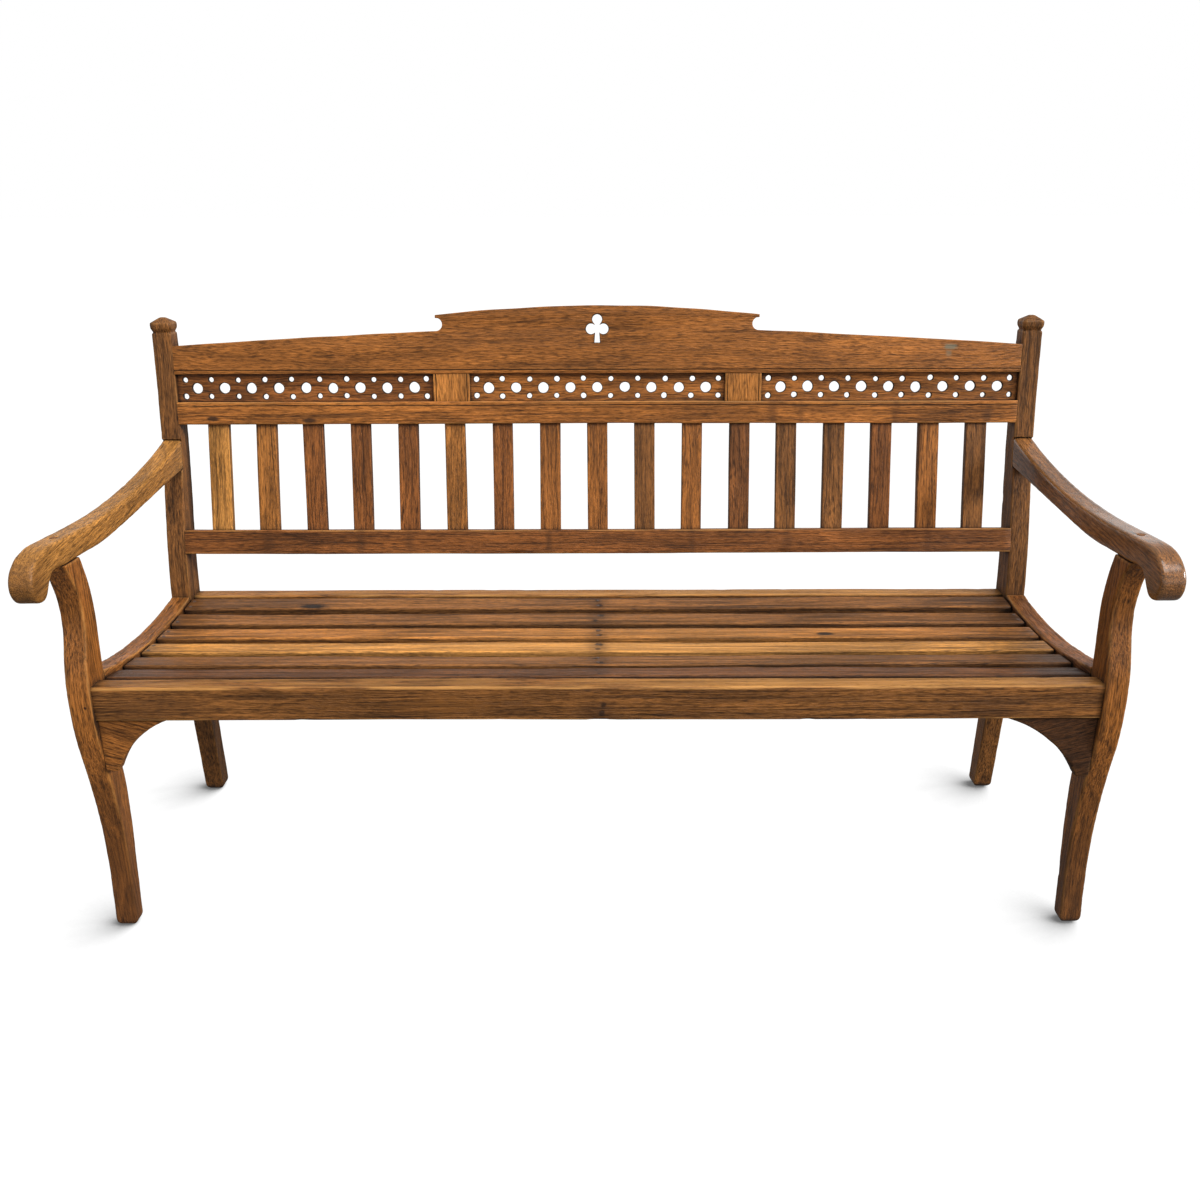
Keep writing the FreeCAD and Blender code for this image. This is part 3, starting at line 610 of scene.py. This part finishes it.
def cut_board(name, outlines, thick, rim, place, seed, log, black_within, beaded=False):
    """Flat board cut to closed outlines of (across, up) points, with softened rims.

    black_within: (point, distance) inside which the rims are sooty. beaded: has the scribed line."""
    curve = bpy.data.curves.new(name, "CURVE")
    curve.dimensions = "2D"
    curve.fill_mode = "BOTH"
    curve.extrude = thick / 2 - rim
    curve.bevel_depth = rim
    curve.bevel_resolution = 2
    curve.offset = -rim
    for outline in outlines:
        spline = curve.splines.new("POLY")
        spline.points.add(len(outline) - 1)
        for point, (u, v) in zip(spline.points, outline):
            point.co = (u, v, 0.0, 1.0)
        spline.use_cyclic_u = True
    drawn = link(name, curve)
    mesh = evaluated(drawn)
    bpy.data.objects.remove(drawn)
    faced_outwards(mesh, weld=0.02 * MM)
    if beaded:
        mesh = scribed(mesh, thick / 2)
    points = np.array([v.co[:] for v in mesh.vertices])
    edge = (np.abs(points[:, 2]) < thick / 2 - 0.05 * rim).astype(float)
    middle, reach = black_within
    edge[np.linalg.norm(points[:, :2] - middle, axis=1) < reach] *= -1
    if beaded:
        slack = 0.1 * MM
        inside = (points[:, 2] > 0) & (points[:, 1] > BEAD_IN - slack)
        inside &= points[:, 1] < BEAD_IN + GROOVE_WIDE + slack
        # The floor of the scribed line takes painted shade, its lips are worn.
        edge[inside] = np.where(points[inside, 2] < thick / 2 - 2 * slack, -0.9, GROOVE_LIP_WEAR)
    set_figure(mesh, points, log, seed, edge)
    mesh.transform(place)
    mesh.name = name
    return link(name, mesh)


def arc_through(first, middle, last, step):
    """Points on the arc through three points, without the last one."""
    a, b, c = (Vector(p) for p in (first, middle, last))
    d = 2 * (a.x * (b.y - c.y) + b.x * (c.y - a.y) + c.x * (a.y - b.y))
    a2, b2, c2 = a.length_squared, b.length_squared, c.length_squared
    centre = Vector(((a2 * (b.y - c.y) + b2 * (c.y - a.y) + c2 * (a.y - b.y)) / d,
                     (a2 * (c.x - b.x) + b2 * (a.x - c.x) + c2 * (b.x - a.x)) / d))
    radius = (a - centre).length
    angles = [math.atan2(p.y - centre.y, p.x - centre.x) for p in (a, b, c)]
    turn = (angles[2] - angles[0]) % (2 * math.pi)
    if (angles[1] - angles[0]) % (2 * math.pi) > turn:
        turn -= 2 * math.pi
    count = max(3, round(abs(turn) * radius / step))
    return [(centre.x + radius * math.cos(angles[0] + turn * k / count),
             centre.y + radius * math.sin(angles[0] + turn * k / count)) for k in range(count)]


def straight_run(first, last):
    """Points from first towards last, without the last one."""
    count = max(1, round(math.dist(first, last) / (12 * MM)))
    return [(first[0] + (last[0] - first[0]) * k / count, first[1] + (last[1] - first[1]) * k / count)
            for k in range(count)]


def wavered(outline, amount, seed):
    """Outline moved about slightly, as a sawn edge wanders."""
    flat = np.array([(u, v, 0.0) for u, v in outline])
    shift = np.stack([ripple(flat, 0.09, seed), ripple(flat, 0.09, seed + 1)], 1)
    return flat[:, :2] + shift * amount


def hole(centre, radius, seed, count, ragged):
    """A drilled hole of so many points, worn slightly out of round."""
    chance = np.random.default_rng(seed)
    lobes = [(n, chance.uniform(0.3, 1.0) / n, chance.uniform(0, 2 * math.pi)) for n in (2, 3, 5)]
    outline = []
    for k in range(count):
        angle = 2 * math.pi * k / count
        worn = radius * (1 + ragged * sum(size * math.sin(n * angle + turn) for n, size, turn in lobes))
        outline.append((centre[0] + worn * math.cos(angle), centre[1] + worn * math.sin(angle)))
    return outline


# --- the pieces
def nail_stain(x, y, z, reach):
    """Rust-black spot round a nail."""
    return (NEAR_BLACK, (x, y, z), (reach, reach, reach), 0.85, 1.2, 0.65)


def gleam(node, x, reach, share):
    """Rubbed golden stretch along the top of a rail or slat."""
    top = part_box(node)[1].z
    y = centre_of(node).y
    return (tinted(RUBBED, 1.15), (x, y, top), (reach, 0.05, 4 * MM), share, 0.5, 0.7)


FRONT_RAIL_MARKS = [
    nail_stain(0.009, -0.22, 0.413, 6 * MM),
    nail_stain(0.006, -0.22, 0.399, 7 * MM),
    gleam("front_seat_rail", 0.40, 0.52, 0.5),
    (HONEY, (-0.235, -0.22, 0.412), (0.10, 0.05, 0.022), 0.55, 0.9, 0.8),
    (DUSKY, (0.0, -0.22, 0.405), (0.05, 0.05, 0.03), 0.45, 0.8, 0.9),
    (DUSKY, (0.60, -0.22, 0.410), (0.09, 0.05, 0.03), 0.45, 0.9, 0.9),
    (DUSKY, (-0.66, -0.22, 0.410), (0.12, 0.05, 0.03), 0.35, 0.9, 0.9),
]


def seat_rails():
    front = wood("front_rail_wood", BROWN, ring_width=5 * MM, wave=0.012, streaks=1.0, wear=0.9,
                 marks=FRONT_RAIL_MARKS)
    along_bench("front_rail", "front_seat_rail", 0.0, FRONT_RAIL_HIGH, SEAT_RAIL_THICK, front, "rail_wood",
                seed=11, radii=(3.5 * MM, 2 * MM, 2.5 * MM, 2.5 * MM), log=(0.02, -0.07),
                flats=(0.0, 0.0, 0.0, 0.45))
    rear = wood("rear_rail_wood", HONEY, ring_width=6 * MM, wave=0.012, streaks=1.0, wear=1.0,
                marks=[gleam("rear_seat_rail", 0.35, 0.60, 0.5)])
    along_bench("rear_rail", "rear_seat_rail", 0.0, REAR_RAIL_HIGH, SEAT_RAIL_THICK, rear, "rail_wood",
                seed=12, radii=(3 * MM,) * 4, log=(0.05, -0.05), flats=(0.0, 0.0, 0.0, 0.6))


MID_RAIL_MARKS = [
    (NEAR_BLACK, (-0.703, 0.269, 0.756), (0.016, 0.03, 0.006), 0.85, 0.7, 0.6),
    (NEAR_BLACK, (-0.526, 0.269, 0.752), (0.020, 0.03, 0.007), 0.85, 0.7, 0.6),
    (UMBER, (0.320, 0.269, 0.768), (0.014, 0.03, 0.040), 0.6, 0.6, 0.9),
    (UMBER, (0.372, 0.269, 0.765), (0.010, 0.03, 0.040), 0.5, 0.6, 0.9),
    (UMBER, (0.545, 0.269, 0.765), (0.012, 0.03, 0.040), 0.5, 0.6, 0.9),
    (DUSKY, (0.712, 0.269, 0.760), (0.016, 0.03, 0.026), 0.6, 0.8, 0.9),
]
CREST_MARKS = [
    (GREY_GREEN, (0.636, 0.283, 0.880), (0.017, 0.03, 0.007), 0.75, 0.9, 0.6),
    (GREY_GREEN, (0.634, 0.283, 0.868), (0.008, 0.03, 0.012), 0.45, 0.9, 0.9),
    (UMBER, (0.385, 0.285, 0.893), (0.040, 0.03, 0.012), 0.5, 0.8, 0.9),
    (UMBER, (-0.230, 0.287, 0.890), (0.030, 0.03, 0.020), 0.35, 0.9, 0.9),
]


def slat_smudges(rail):
    """Dark smudges on a rail, in line with some of the slats."""
    middle = centre_of(rail)
    chance = np.random.default_rng(91)
    marks = []
    for number in (2, 4, 5, 8, 11, 13, 16):
        x = centre_of(f"back_slat_{number:02d}").x + chance.normal(0, 6 * MM)
        reach = (chance.uniform(8, 16) * MM, 0.05, 0.04)
        marks.append((tinted(UMBER, 0.8), (x, middle.y, middle.z), reach, chance.uniform(0.5, 0.8), 0.6, 0.9))
    return marks


def back_rails():
    lower = wood("lower_rail_wood", tinted(RUSSET, 0.95), ring_width=8 * MM, wave=0.018, light=1.7,
                 marks=slat_smudges("lower_back_rail"))
    along_bench("lower_rail", "lower_back_rail", LOWER_RAKE, LOWER_RAIL_HIGH, BACK_RAIL_THICK, lower,
                "back_wood", seed=13, log=(0.01, -0.06))
    middle = wood("mid_rail_wood", tinted(AMBER, 1.12), ring_width=8 * MM, wave=0.02, marks=MID_RAIL_MARKS)
    bead = MID_RAIL_HIGH / 2 - BEAD_IN - GROOVE_WIDE / 2
    along_bench("middle_rail", "mid_rail", UPPER_RAKE, MID_RAIL_HIGH, BACK_RAIL_THICK, middle, "back_wood",
                seed=14, log=(-0.01, -0.05), grooves=[bead])


def crest():
    """Arched crest: a wing at each side, a coved ear, and a shallow arch with the club hole in the middle."""
    low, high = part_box("crest_rail")
    up, front = leaning(UPPER_RAKE)
    foot = Vector((0, low.y, low.z + BACK_RAIL_THICK * math.sin(UPPER_RAKE)))
    top = (high.z - foot.z) / math.cos(UPPER_RAKE)
    end, step, tip = 49.4 * MM, 75.1 * MM, 102.3 * MM  # heights of the wing's ends and of the ear's tip
    ear, nose, swell = 289 * MM, 5 * MM, 1.5 * MM
    point = ear + 2 * MM
    cove = (tip - nose - step) / 2
    cove_in = ear - 0.95 * cove
    wing_x, wing_up = (HALF_RAIL + ear) / 2, (end + step) / 2 + swell
    coarse, close = 12 * MM, 2 * MM
    outline = straight_run((-HALF_RAIL, 0), (HALF_RAIL, 0)) + straight_run((HALF_RAIL, 0), (HALF_RAIL, end))
    outline += arc_through((HALF_RAIL, end), (wing_x, wing_up), (ear, step), coarse)
    outline += arc_through((ear, step), (cove_in, step + cove), (point, tip - nose), close)
    outline += [(point, tip - nose)]
    outline += arc_through((point, tip), (0, top), (-point, tip), coarse)
    outline += [(-point, tip)]
    outline += arc_through((-point, tip - nose), (-cove_in, step + cove), (-ear, step), close)
    outline += arc_through((-ear, step), (-wing_x, wing_up), (-HALF_RAIL, end), coarse)
    outline += straight_run((-HALF_RAIL, end), (-HALF_RAIL, 0))
    outline = [tuple(spot) for spot in wavered(outline, 0.4 * MM, 21)]
    place = axes(foot - front * (BACK_RAIL_THICK / 2), (1, 0, 0), up, front)
    piece = cut_board("crest", [outline, trefoil()], BACK_RAIL_THICK, 1.3 * MM, place, 21, log=(0.02, -0.06),
                      black_within=((0, 80 * MM), 32 * MM), beaded=True)
    material = wood("crest_wood", tinted(AMBER, 0.95), ring_width=9 * MM, rings=0.4, wave=0.035, streaks=0.55,
                    pores=0.25, light=1.6, dark=0.35, marks=CREST_MARKS)
    finished(piece, material, "crest_rail", 35.0)


def trefoil():
    """Club-shaped hole: three round lobes over a flared stem, as one outline seen from its heart."""
    heart = Vector((0, 82 * MM))
    count = 72
    lobes = [(Vector((0, 94.7 * MM)), 9.0 * MM), (Vector((11 * MM, 78.1 * MM)), 9.4 * MM),
             (Vector((-11 * MM, 78.1 * MM)), 9.4 * MM), (heart, 5.5 * MM)]
    stem_foot, stem_half, flare = 54 * MM, 3.0 * MM, 0.07
    outline = []
    for k in range(count):
        angle = 2 * math.pi * k / count
        ray = Vector((math.cos(angle), math.sin(angle)))
        reach = 0.0
        for centre, radius in lobes:
            away = heart - centre
            along = away.dot(ray)
            inside = along * along - away.length_squared + radius * radius
            if inside > 0:
                reach = max(reach, math.sqrt(inside) - along)
        if ray.y < 0:
            down = (stem_foot - heart.y) / ray.y
            side = stem_half / max(abs(ray.x) + flare * ray.y, 1e-6)
            reach = max(reach, min(down, side))
        outline.append(tuple(heart + ray * reach))
    return outline


def frieze():
    """Three drilled panels: a middle row of wide holes, with narrow ones between them above and below."""
    up, front = leaning(UPPER_RAKE)
    thick, pitch, row = 6 * MM, 49.4 * MM, 15 * MM
    wide, narrow, columns = 9.2 * MM, 4.8 * MM, 9
    clear_of_post = 2.5 * MM
    tones = {"left": RUSSET, "centre": tinted(AMBER, 1.1), "right": AMBER}
    for number, (side, tone) in enumerate(tones.items()):
        node = "frieze_panel_" + side
        low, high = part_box(node)
        half_width = (high.x - low.x) / 2
        half_height = ((high.z - low.z) - thick * math.sin(UPPER_RAKE)) / 2 / math.cos(UPPER_RAKE)
        corners = [(-half_width, -half_height), (half_width, -half_height), (half_width, half_height),
                   (-half_width, half_height)]
        outlines = [corners]
        seed = 300 + 100 * number
        chance = np.random.default_rng(seed)
        for k in range(columns):
            spot = ((k - (columns - 1) / 2) * pitch + chance.normal(0, 0.5 * MM), chance.normal(0, 0.4 * MM))
            outlines.append(hole(spot, wide * chance.uniform(0.96, 1.04), seed + k, 32, 0.06))
        for k in range(columns + 1):
            for level in (-row, row):
                inward = clear_of_post * ((k == 0) - (k == columns))
                spot = ((k - columns / 2) * pitch + inward + chance.normal(0, 0.6 * MM),
                        level + chance.normal(0, 0.5 * MM))
                outlines.append(hole(spot, narrow * chance.uniform(0.9, 1.06), seed + 50 + k, 18, 0.08))
        place = axes(centre_of(node), (1, 0, 0), up, front)
        piece = cut_board("frieze_" + side, outlines, thick, 1.5 * MM, place, seed, log=(0.01, -0.04),
                          black_within=((0, 0), 1.0))
        material = wood(f"frieze_{side}_wood", tone, ring_width=6 * MM, wave=0.04, grime_and_shade=1.0, light=1.8)
        finished(piece, material, node, 35.0)


def frieze_blocks():
    up, front = leaning(UPPER_RAKE)
    width, thick = 66 * MM, 25 * MM
    height = 50.4 * MM + 2 * JOINT_OVERLAP
    bead = width / 2 - 4.8 * MM  # from the middle of a block to its scribed lines
    for seed, side, tone in ((31, "left", tinted(HONEY, 0.93)), (32, "right", tinted(HONEY, 0.8))):
        node = "frieze_block_" + side
        material = wood(node + "_wood", tone, ring_width=6 * MM, wave=0.01, streaks=0.5, pores=0.2, dark=0.4)
        place = axes(centre_of(node), up, (-1, 0, 0), front)
        piece = board("block_" + side, height, width, thick, place, seed, log=(0.0, -0.05),
                      radii=(1.2 * MM,) * 4, uneven=0.15 * MM, bow=0.0, end_round=0.8 * MM, station=6 * MM,
                      grooves=[bead, -bead])
        finished(piece, material, node)


# Back slats from left to right, and seat slats from back to front.
SLAT_TONES = (GOLDEN, tinted(HONEY, 0.88), RUSSET, RUSSET, RUSSET, HONEY, RUSSET, AMBER, AMBER, BROWN, AMBER,
              CHESTNUT, BROWN, BROWN, RUSSET, AMBER, BROWN)
SEAT_TONES = (BROWN, BROWN, HONEY, GOLDEN, BROWN, UMBER)
SEAT_GLEAMS = (0.0, 0.05, 0.25, 0.60, 0.05, 0.0)  # how golden the middle is
SEAT_END_DARKENING = (0.95, 0.9, 0.6, 0.5, 1.0, 1.0)  # how dark the ends are: painted shadow beside the right arm at the right ends, less darkening at the left


def back_slats():
    up, front = leaning(LOWER_RAKE)
    chance = np.random.default_rng(77)
    for number in range(1, BACK_SLATS + 1):
        node = f"back_slat_{number:02d}"
        low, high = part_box(node)
        length = ((high.z - low.z) - BACK_SLAT_THICK * math.sin(LOWER_RAKE)) / math.cos(LOWER_RAKE)
        lean = chance.normal(0, 0.004)
        along = (up + Vector((lean, 0, 0))).normalized()
        place = axes(centre_of(node), along, front.cross(along), front)
        material = wood(node + "_wood", SLAT_TONES[number - 1], ring_width=chance.uniform(5, 10) * MM,
                        wave=0.03, pores=0.8)
        width = BACK_SLAT_WIDE + chance.normal(0, 0.5 * MM)
        # The sides of each slat face the gaps between slats and take painted shade.
        piece = board(f"slat_{number:02d}", length, width, BACK_SLAT_THICK, place, 400 + number,
                      log=(chance.uniform(-0.03, 0.03), -0.05), radii=(1.8 * MM,) * 4, bow=0.4 * MM,
                      flats=(0.0, SLAT_GAP_SHADE, 0.0, SLAT_GAP_SHADE))
        finished(piece, material, node)


def seat_slats():
    chance = np.random.default_rng(55)
    for number in range(1, SEAT_SLATS + 1):
        node = f"seat_slat_{number}"
        low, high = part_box(node)
        middle = centre_of(node)
        top = middle.z + SEAT_SLAT_THICK / 2
        slope = math.asin((middle.y - SEAT_LOW_Y) / SEAT_DISH_RADIUS)
        across = Vector((0, math.cos(slope), math.sin(slope)))
        place = axes(middle, (1, 0, 0), across, Vector((1, 0, 0)).cross(across))
        gleam_share, end_darkening = SEAT_GLEAMS[number - 1], SEAT_END_DARKENING[number - 1]
        marks = [(tinted(RUBBED, 1.3), (0.12, middle.y, middle.z), (0.62, 0.05, 0.05), gleam_share, 0.5, 0.8),
                 # Painted shadow at the right end, beside the right arm; the left end is darkened less.
                 (tinted(DUSKY, 0.6), (0.80, middle.y, middle.z), (0.17, 0.05, 0.05), end_darkening, 0.5, 0.9),
                 (DUSKY, (-0.76, middle.y, middle.z), (0.13, 0.05, 0.05), 0.6 * end_darkening, 0.5, 0.9),
                 (DUSKY, (0.0, middle.y, middle.z), (0.030, 0.05, 0.05), 0.5, 0.8, 0.9)]
        for offset in (-11 * MM, 11 * MM):
            x = chance.normal(0, 4 * MM)
            marks.append(nail_stain(x, middle.y + offset, top, chance.uniform(5, 9) * MM))
        if number == 1:
            knot = (-0.527, middle.y - 14 * MM, top)
            marks.append((NEAR_BLACK, knot, (0.034, 0.013, 0.03), 1.0, 0.5, 0.6))
            marks.append((DUSKY, (-0.56, middle.y, middle.z), (0.13, 0.03, 0.03), 0.45, 0.7, 0.9))
        if number == 3:
            knot = (0.395, middle.y - 6 * MM, top)
            marks.append((NEAR_BLACK, knot, (0.022, 0.009, 0.03), 0.95, 0.5, 0.6))
        material = wood(node + "_wood", SEAT_TONES[number - 1], ring_width=6 * MM, wave=0.012, streaks=1.0,
                        rings=0.6, wear=0.8, grime_and_shade=1.0, light=2.2, dark=0.30, marks=marks)
        # The front and back faces of the slat face the gaps between slats and take painted shade.
        piece = board(f"seat_board_{number}", high.x - low.x, SEAT_SLAT_WIDE, SEAT_SLAT_THICK, place,
                      500 + 10 * number, log=(0.01, -0.05), radii=(3 * MM,) * 4, uneven=0.4 * MM,
                      bow=1.0 * MM, end_round=2 * MM, flats=(0.0, -0.25, 0.0, -0.25))
        finished(piece, material, node)


LEFT_ARM_MARKS = [
    nail_stain(-0.751, -0.236, 0.680, 5 * MM),
    nail_stain(-0.753, -0.282, 0.680, 5 * MM),
]
RIGHT_ARM_MARKS = [
    (NEAR_BLACK, (0.754, 0.075, 0.700), (2.5 * MM, 0.032, 0.03), 0.9, 0.5, 0.5),
    (NEAR_BLACK, (0.776, -0.196, 0.680), (2.5 * MM, 0.020, 0.03), 0.8, 0.5, 0.5),
]
LEFT_LEG_MARKS = [
    (CHESTNUT, (-0.75, -0.26, 0.08), (0.15, 0.15, 0.27), 0.55, 0.4, 0.7),
    (NEAR_BLACK, (-0.764, -0.225, 0.385), (2.2 * MM, 0.02, 0.040), 0.9, 0.5, 0.5),
    (RUBBED, (-0.759, -0.225, 0.372), (2.0 * MM, 0.02, 0.026), 0.6, 0.8, 0.5),
    (NEAR_BLACK, (-0.775, -0.225, 0.412), (3.0 * MM, 0.02, 0.003), 0.9, 0.5, 0.5),
]


def side_frame(side, sign, seed, tones, leg_marks, arm):
    """One side frame; tones are those of the leg, its foot, the side rail and the bracket (on the right,
    painted shade).
    """
    leg_tone, foot_tone, rail_tone, bracket_tone_and_shade = tones
    post = wood(f"post_{side}_wood", tinted(BROWN, 0.85), wave=0.015, pores=0.3)
    worn_copy(f"post_{side}", f"rear_post_{side}", 1.3 * MM, (0, 0.12, 1), post, seed,
              soften=2, uneven=0.15 * MM, foot=FOOT_ROUND)
    foot = (foot_tone, (sign * (INNER_X + OUTER_X) / 2, -0.25, 0.0), (0.3, 0.3, 0.36), 0.7, 0.15, 0.9)
    leg = wood(f"leg_{side}_wood", leg_tone, wave=0.015, pores=0.3, coat=0.12, marks=[foot] + leg_marks)
    worn_copy(f"leg_{side}", f"front_leg_{side}", 2 * MM, (0, 0.02, 1), leg, seed + 10,
              uneven=0.15 * MM, foot=FOOT_ROUND)
    worn_copy(f"armrest_{side}", f"arm_{side}", 2 * MM, (0, 1, 0.13), arm, seed + 20, soften=6,
              uneven=0.12 * MM)
    rail = wood(f"side_rail_{side}_wood", rail_tone)
    worn_copy(f"side_rail_{side}", f"side_seat_rail_{side}", 2 * MM, (0, 1, 0), rail,
              seed + 30)
    bracket = wood(f"bracket_{side}_wood", bracket_tone_and_shade, wear=0.2, coat=0.0, roughness=0.65)
    worn_copy(f"bracket_{side}", f"corner_bracket_{side}", 1.5 * MM, (1, 0, 0.3 * sign), bracket,
              seed + 40)


def side_frames():
    """The left arm is rubbed pale by hands, its scroll end painted brown as shade; the right is dark and
    glossy.
    """
    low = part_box("arm_left")[0]
    # Painted shade: the front of the scroll is darkened brown.
    scroll_shade = (BROWN, (centre_of("arm_left").x, low.y, low.z + 30 * MM), (0.08, 0.06, 0.06), 0.65, 0.4, 0.9)
    pale = wood("arm_left_wood", tinted(GOLDEN, 0.8), streaks=0.6, pores=0.15, wear=0.15, coat=0.15,
                light=1.5, dark=0.4, marks=[scroll_shade] + LEFT_ARM_MARKS)
    glossy = wood("arm_right_wood", BROWN, streaks=0.6, pores=0.15, wear=0.3, coat=1.0, polish=0.20,
                  marks=RIGHT_ARM_MARKS)
    side_frame("left", -1, 600, (tinted(AMBER, 0.9), UMBER, tinted(AMBER, 0.9), tinted(AMBER, 0.9)),
               LEFT_LEG_MARKS, pale)
    # The right bracket's tone, UMBER at half, is painted shade: the shadow of the right leg falls on it.
    side_frame("right", 1, 700, (tinted(AMBER, 0.86), DUSKY, tinted(RUSSET, 0.9), tinted(UMBER, 0.5)),
               [], glossy)


def flecked(name, first, second, size, roughness, metallic):
    """Two-coloured grain for small fixings; size is that of the flecks."""
    material, g, shader = new_material(name)
    where = g.node("ShaderNodeTexCoord").outputs["Object"]
    fleck = g.noise(where, (1 / size,) * 3, 4.0, 0.6)
    share = g.span(fleck, 0.35, 0.65)
    g.feed(shader.inputs["Base Color"], g.mix(share, first, second))
    g.feed(shader.inputs["Roughness"], g.math("ADD", roughness, g.math("MULTIPLY", share, 0.25), clamp=True))
    g.feed(shader.inputs["Metallic"], g.math("MULTIPLY", metallic, g.math("SUBTRACT", 1.0, share)))
    bumped(g, shader, fleck, 0.4, 0.3 * MM)
    return material


def fixings():
    """Nails and screws of rusting steel, and pegs and dowels of pale end grain, keep their turned shapes."""
    rusting = flecked("rusting_steel", (0.16, 0.15, 0.14), (0.10, 0.035, 0.012), 1.5 * MM, 0.45, 0.9)
    end_grain = flecked("peg_wood", HONEY, UMBER, 1.0 * MM, 0.55, 0.0)
    for material, nodes in ((rusting, ("slat_nails", "cleat_screws", "bracket_screws")),
                            (end_grain, ("back_rail_pegs", "side_rail_pegs", "arm_dowels"))):
        for node in nodes:
            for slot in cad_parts[node].material_slots:
                slot.material = material


def under_the_seat():
    sawn = wood("sawn_wood", BROWN, coat=0.0, roughness=0.7, wear=0.2)
    for name, node, seed in (("bearer", "centre_bearer", 800), ("cleat_left", "slat_cleat_left", 810),
                             ("cleat_right", "slat_cleat_right", 820)):
        worn_copy(name, node, 2.5 * MM, (0, 1, 0), sawn, seed, soften=2)


seat_rails()
back_rails()
crest()
frieze()
frieze_blocks()
back_slats()
seat_slats()
side_frames()
under_the_seat()
fixings()


# --- floor, light and camera
def floor_paint():
    """Glowing white floor with soft contact shadows, which fall to the left of what stands on it."""
    material, g, shader = new_material("floor_white")
    shader.inputs["Base Color"].default_value = (0.02, 0.02, 0.02, 1.0)
    shader.inputs["Roughness"].default_value = 1.0
    shader.inputs["Specular IOR Level"].default_value = 0.0
    shade = g.node("ShaderNodeAmbientOcclusion", samples=16)
    shade.inputs["Distance"].default_value = 0.16
    toward_light = g.node("ShaderNodeCombineXYZ")
    for socket, amount in zip(toward_light.inputs, (0.86, 0.05, 0.50)):
        socket.default_value = amount
    g.feed(shade.inputs["Normal"], toward_light.outputs[0])
    glow = g.span(shade.outputs["AO"], 0.52, 0.95, 0.15, 1.05)
    shader.inputs["Emission Color"].default_value = (1.0, 1.0, 1.0, 1.0)
    g.feed(shader.inputs["Emission Strength"], glow)
    return material


def pale_floor():
    """A floor that reaches the horizon, and lights nothing."""
    reach = 60.0
    mesh = bpy.data.meshes.new("floor")
    corners = [(-reach, -reach, 0), (reach, -reach, 0), (reach, reach, 0), (-reach, reach, 0)]
    mesh.from_pydata(corners, [], [(0, 1, 2, 3)])
    floor = link("floor", mesh)
    mesh.materials.append(floor_paint())
    floor.visible_diffuse = False
    floor.visible_glossy = False


def sun(name, toward, strength, angle):
    """Distant light; toward points from the bench to the light, and angle says how soft it is."""
    light = bpy.data.lights.new(name, "SUN")
    light.energy = strength
    light.angle = math.radians(angle)
    made = link(name, light)
    made.rotation_euler = (-Vector(toward)).to_track_quat("-Z", "Y").to_euler()


def studio():
    """Light from the right and above, in a room that is whitest round the horizon."""
    sun("key", (1.9, -0.85, 1.0), 2.6, 16)
    sun("top", (0.3, -0.7, 2.0), 2.0, 45)
    world = bpy.data.worlds.new("studio")
    bpy.context.scene.world = world
    world.use_nodes = True
    g = Graph(world.node_tree)
    background = world.node_tree.nodes["Background"]
    direction = g.node("ShaderNodeSeparateXYZ")
    g.feed(direction.inputs[0], g.node("ShaderNodeTexCoord").outputs["Generated"])
    height = direction.outputs["Z"]
    above = g.span(height, 0.16, 0.34, 1.0, 0.42)
    below = g.span(height, -0.10, -0.02, 0.20, 1.0)
    g.feed(background.inputs["Color"], (1.0, 1.0, 1.0))
    g.feed(background.inputs["Strength"], g.math("MULTIPLY", above, below))
    bpy.context.scene.view_settings.view_transform = "Standard"


def camera():
    """A standing viewer's eye, square to the bench and looking down on it."""
    lens = bpy.data.cameras.new("camera")
    lens.sensor_width = 36.0
    lens.lens = 32.6
    eye = link("camera", lens)
    down, roll = math.radians(20.43), math.radians(-0.156)
    turn = Matrix.Rotation(math.pi / 2 - down, 4, "X") @ Matrix.Rotation(roll, 4, "Z")
    eye.matrix_world = Matrix.Translation((0.0038, -1.7074, 1.1368)) @ turn
    bpy.context.scene.camera = eye


pale_floor()
studio()
camera()
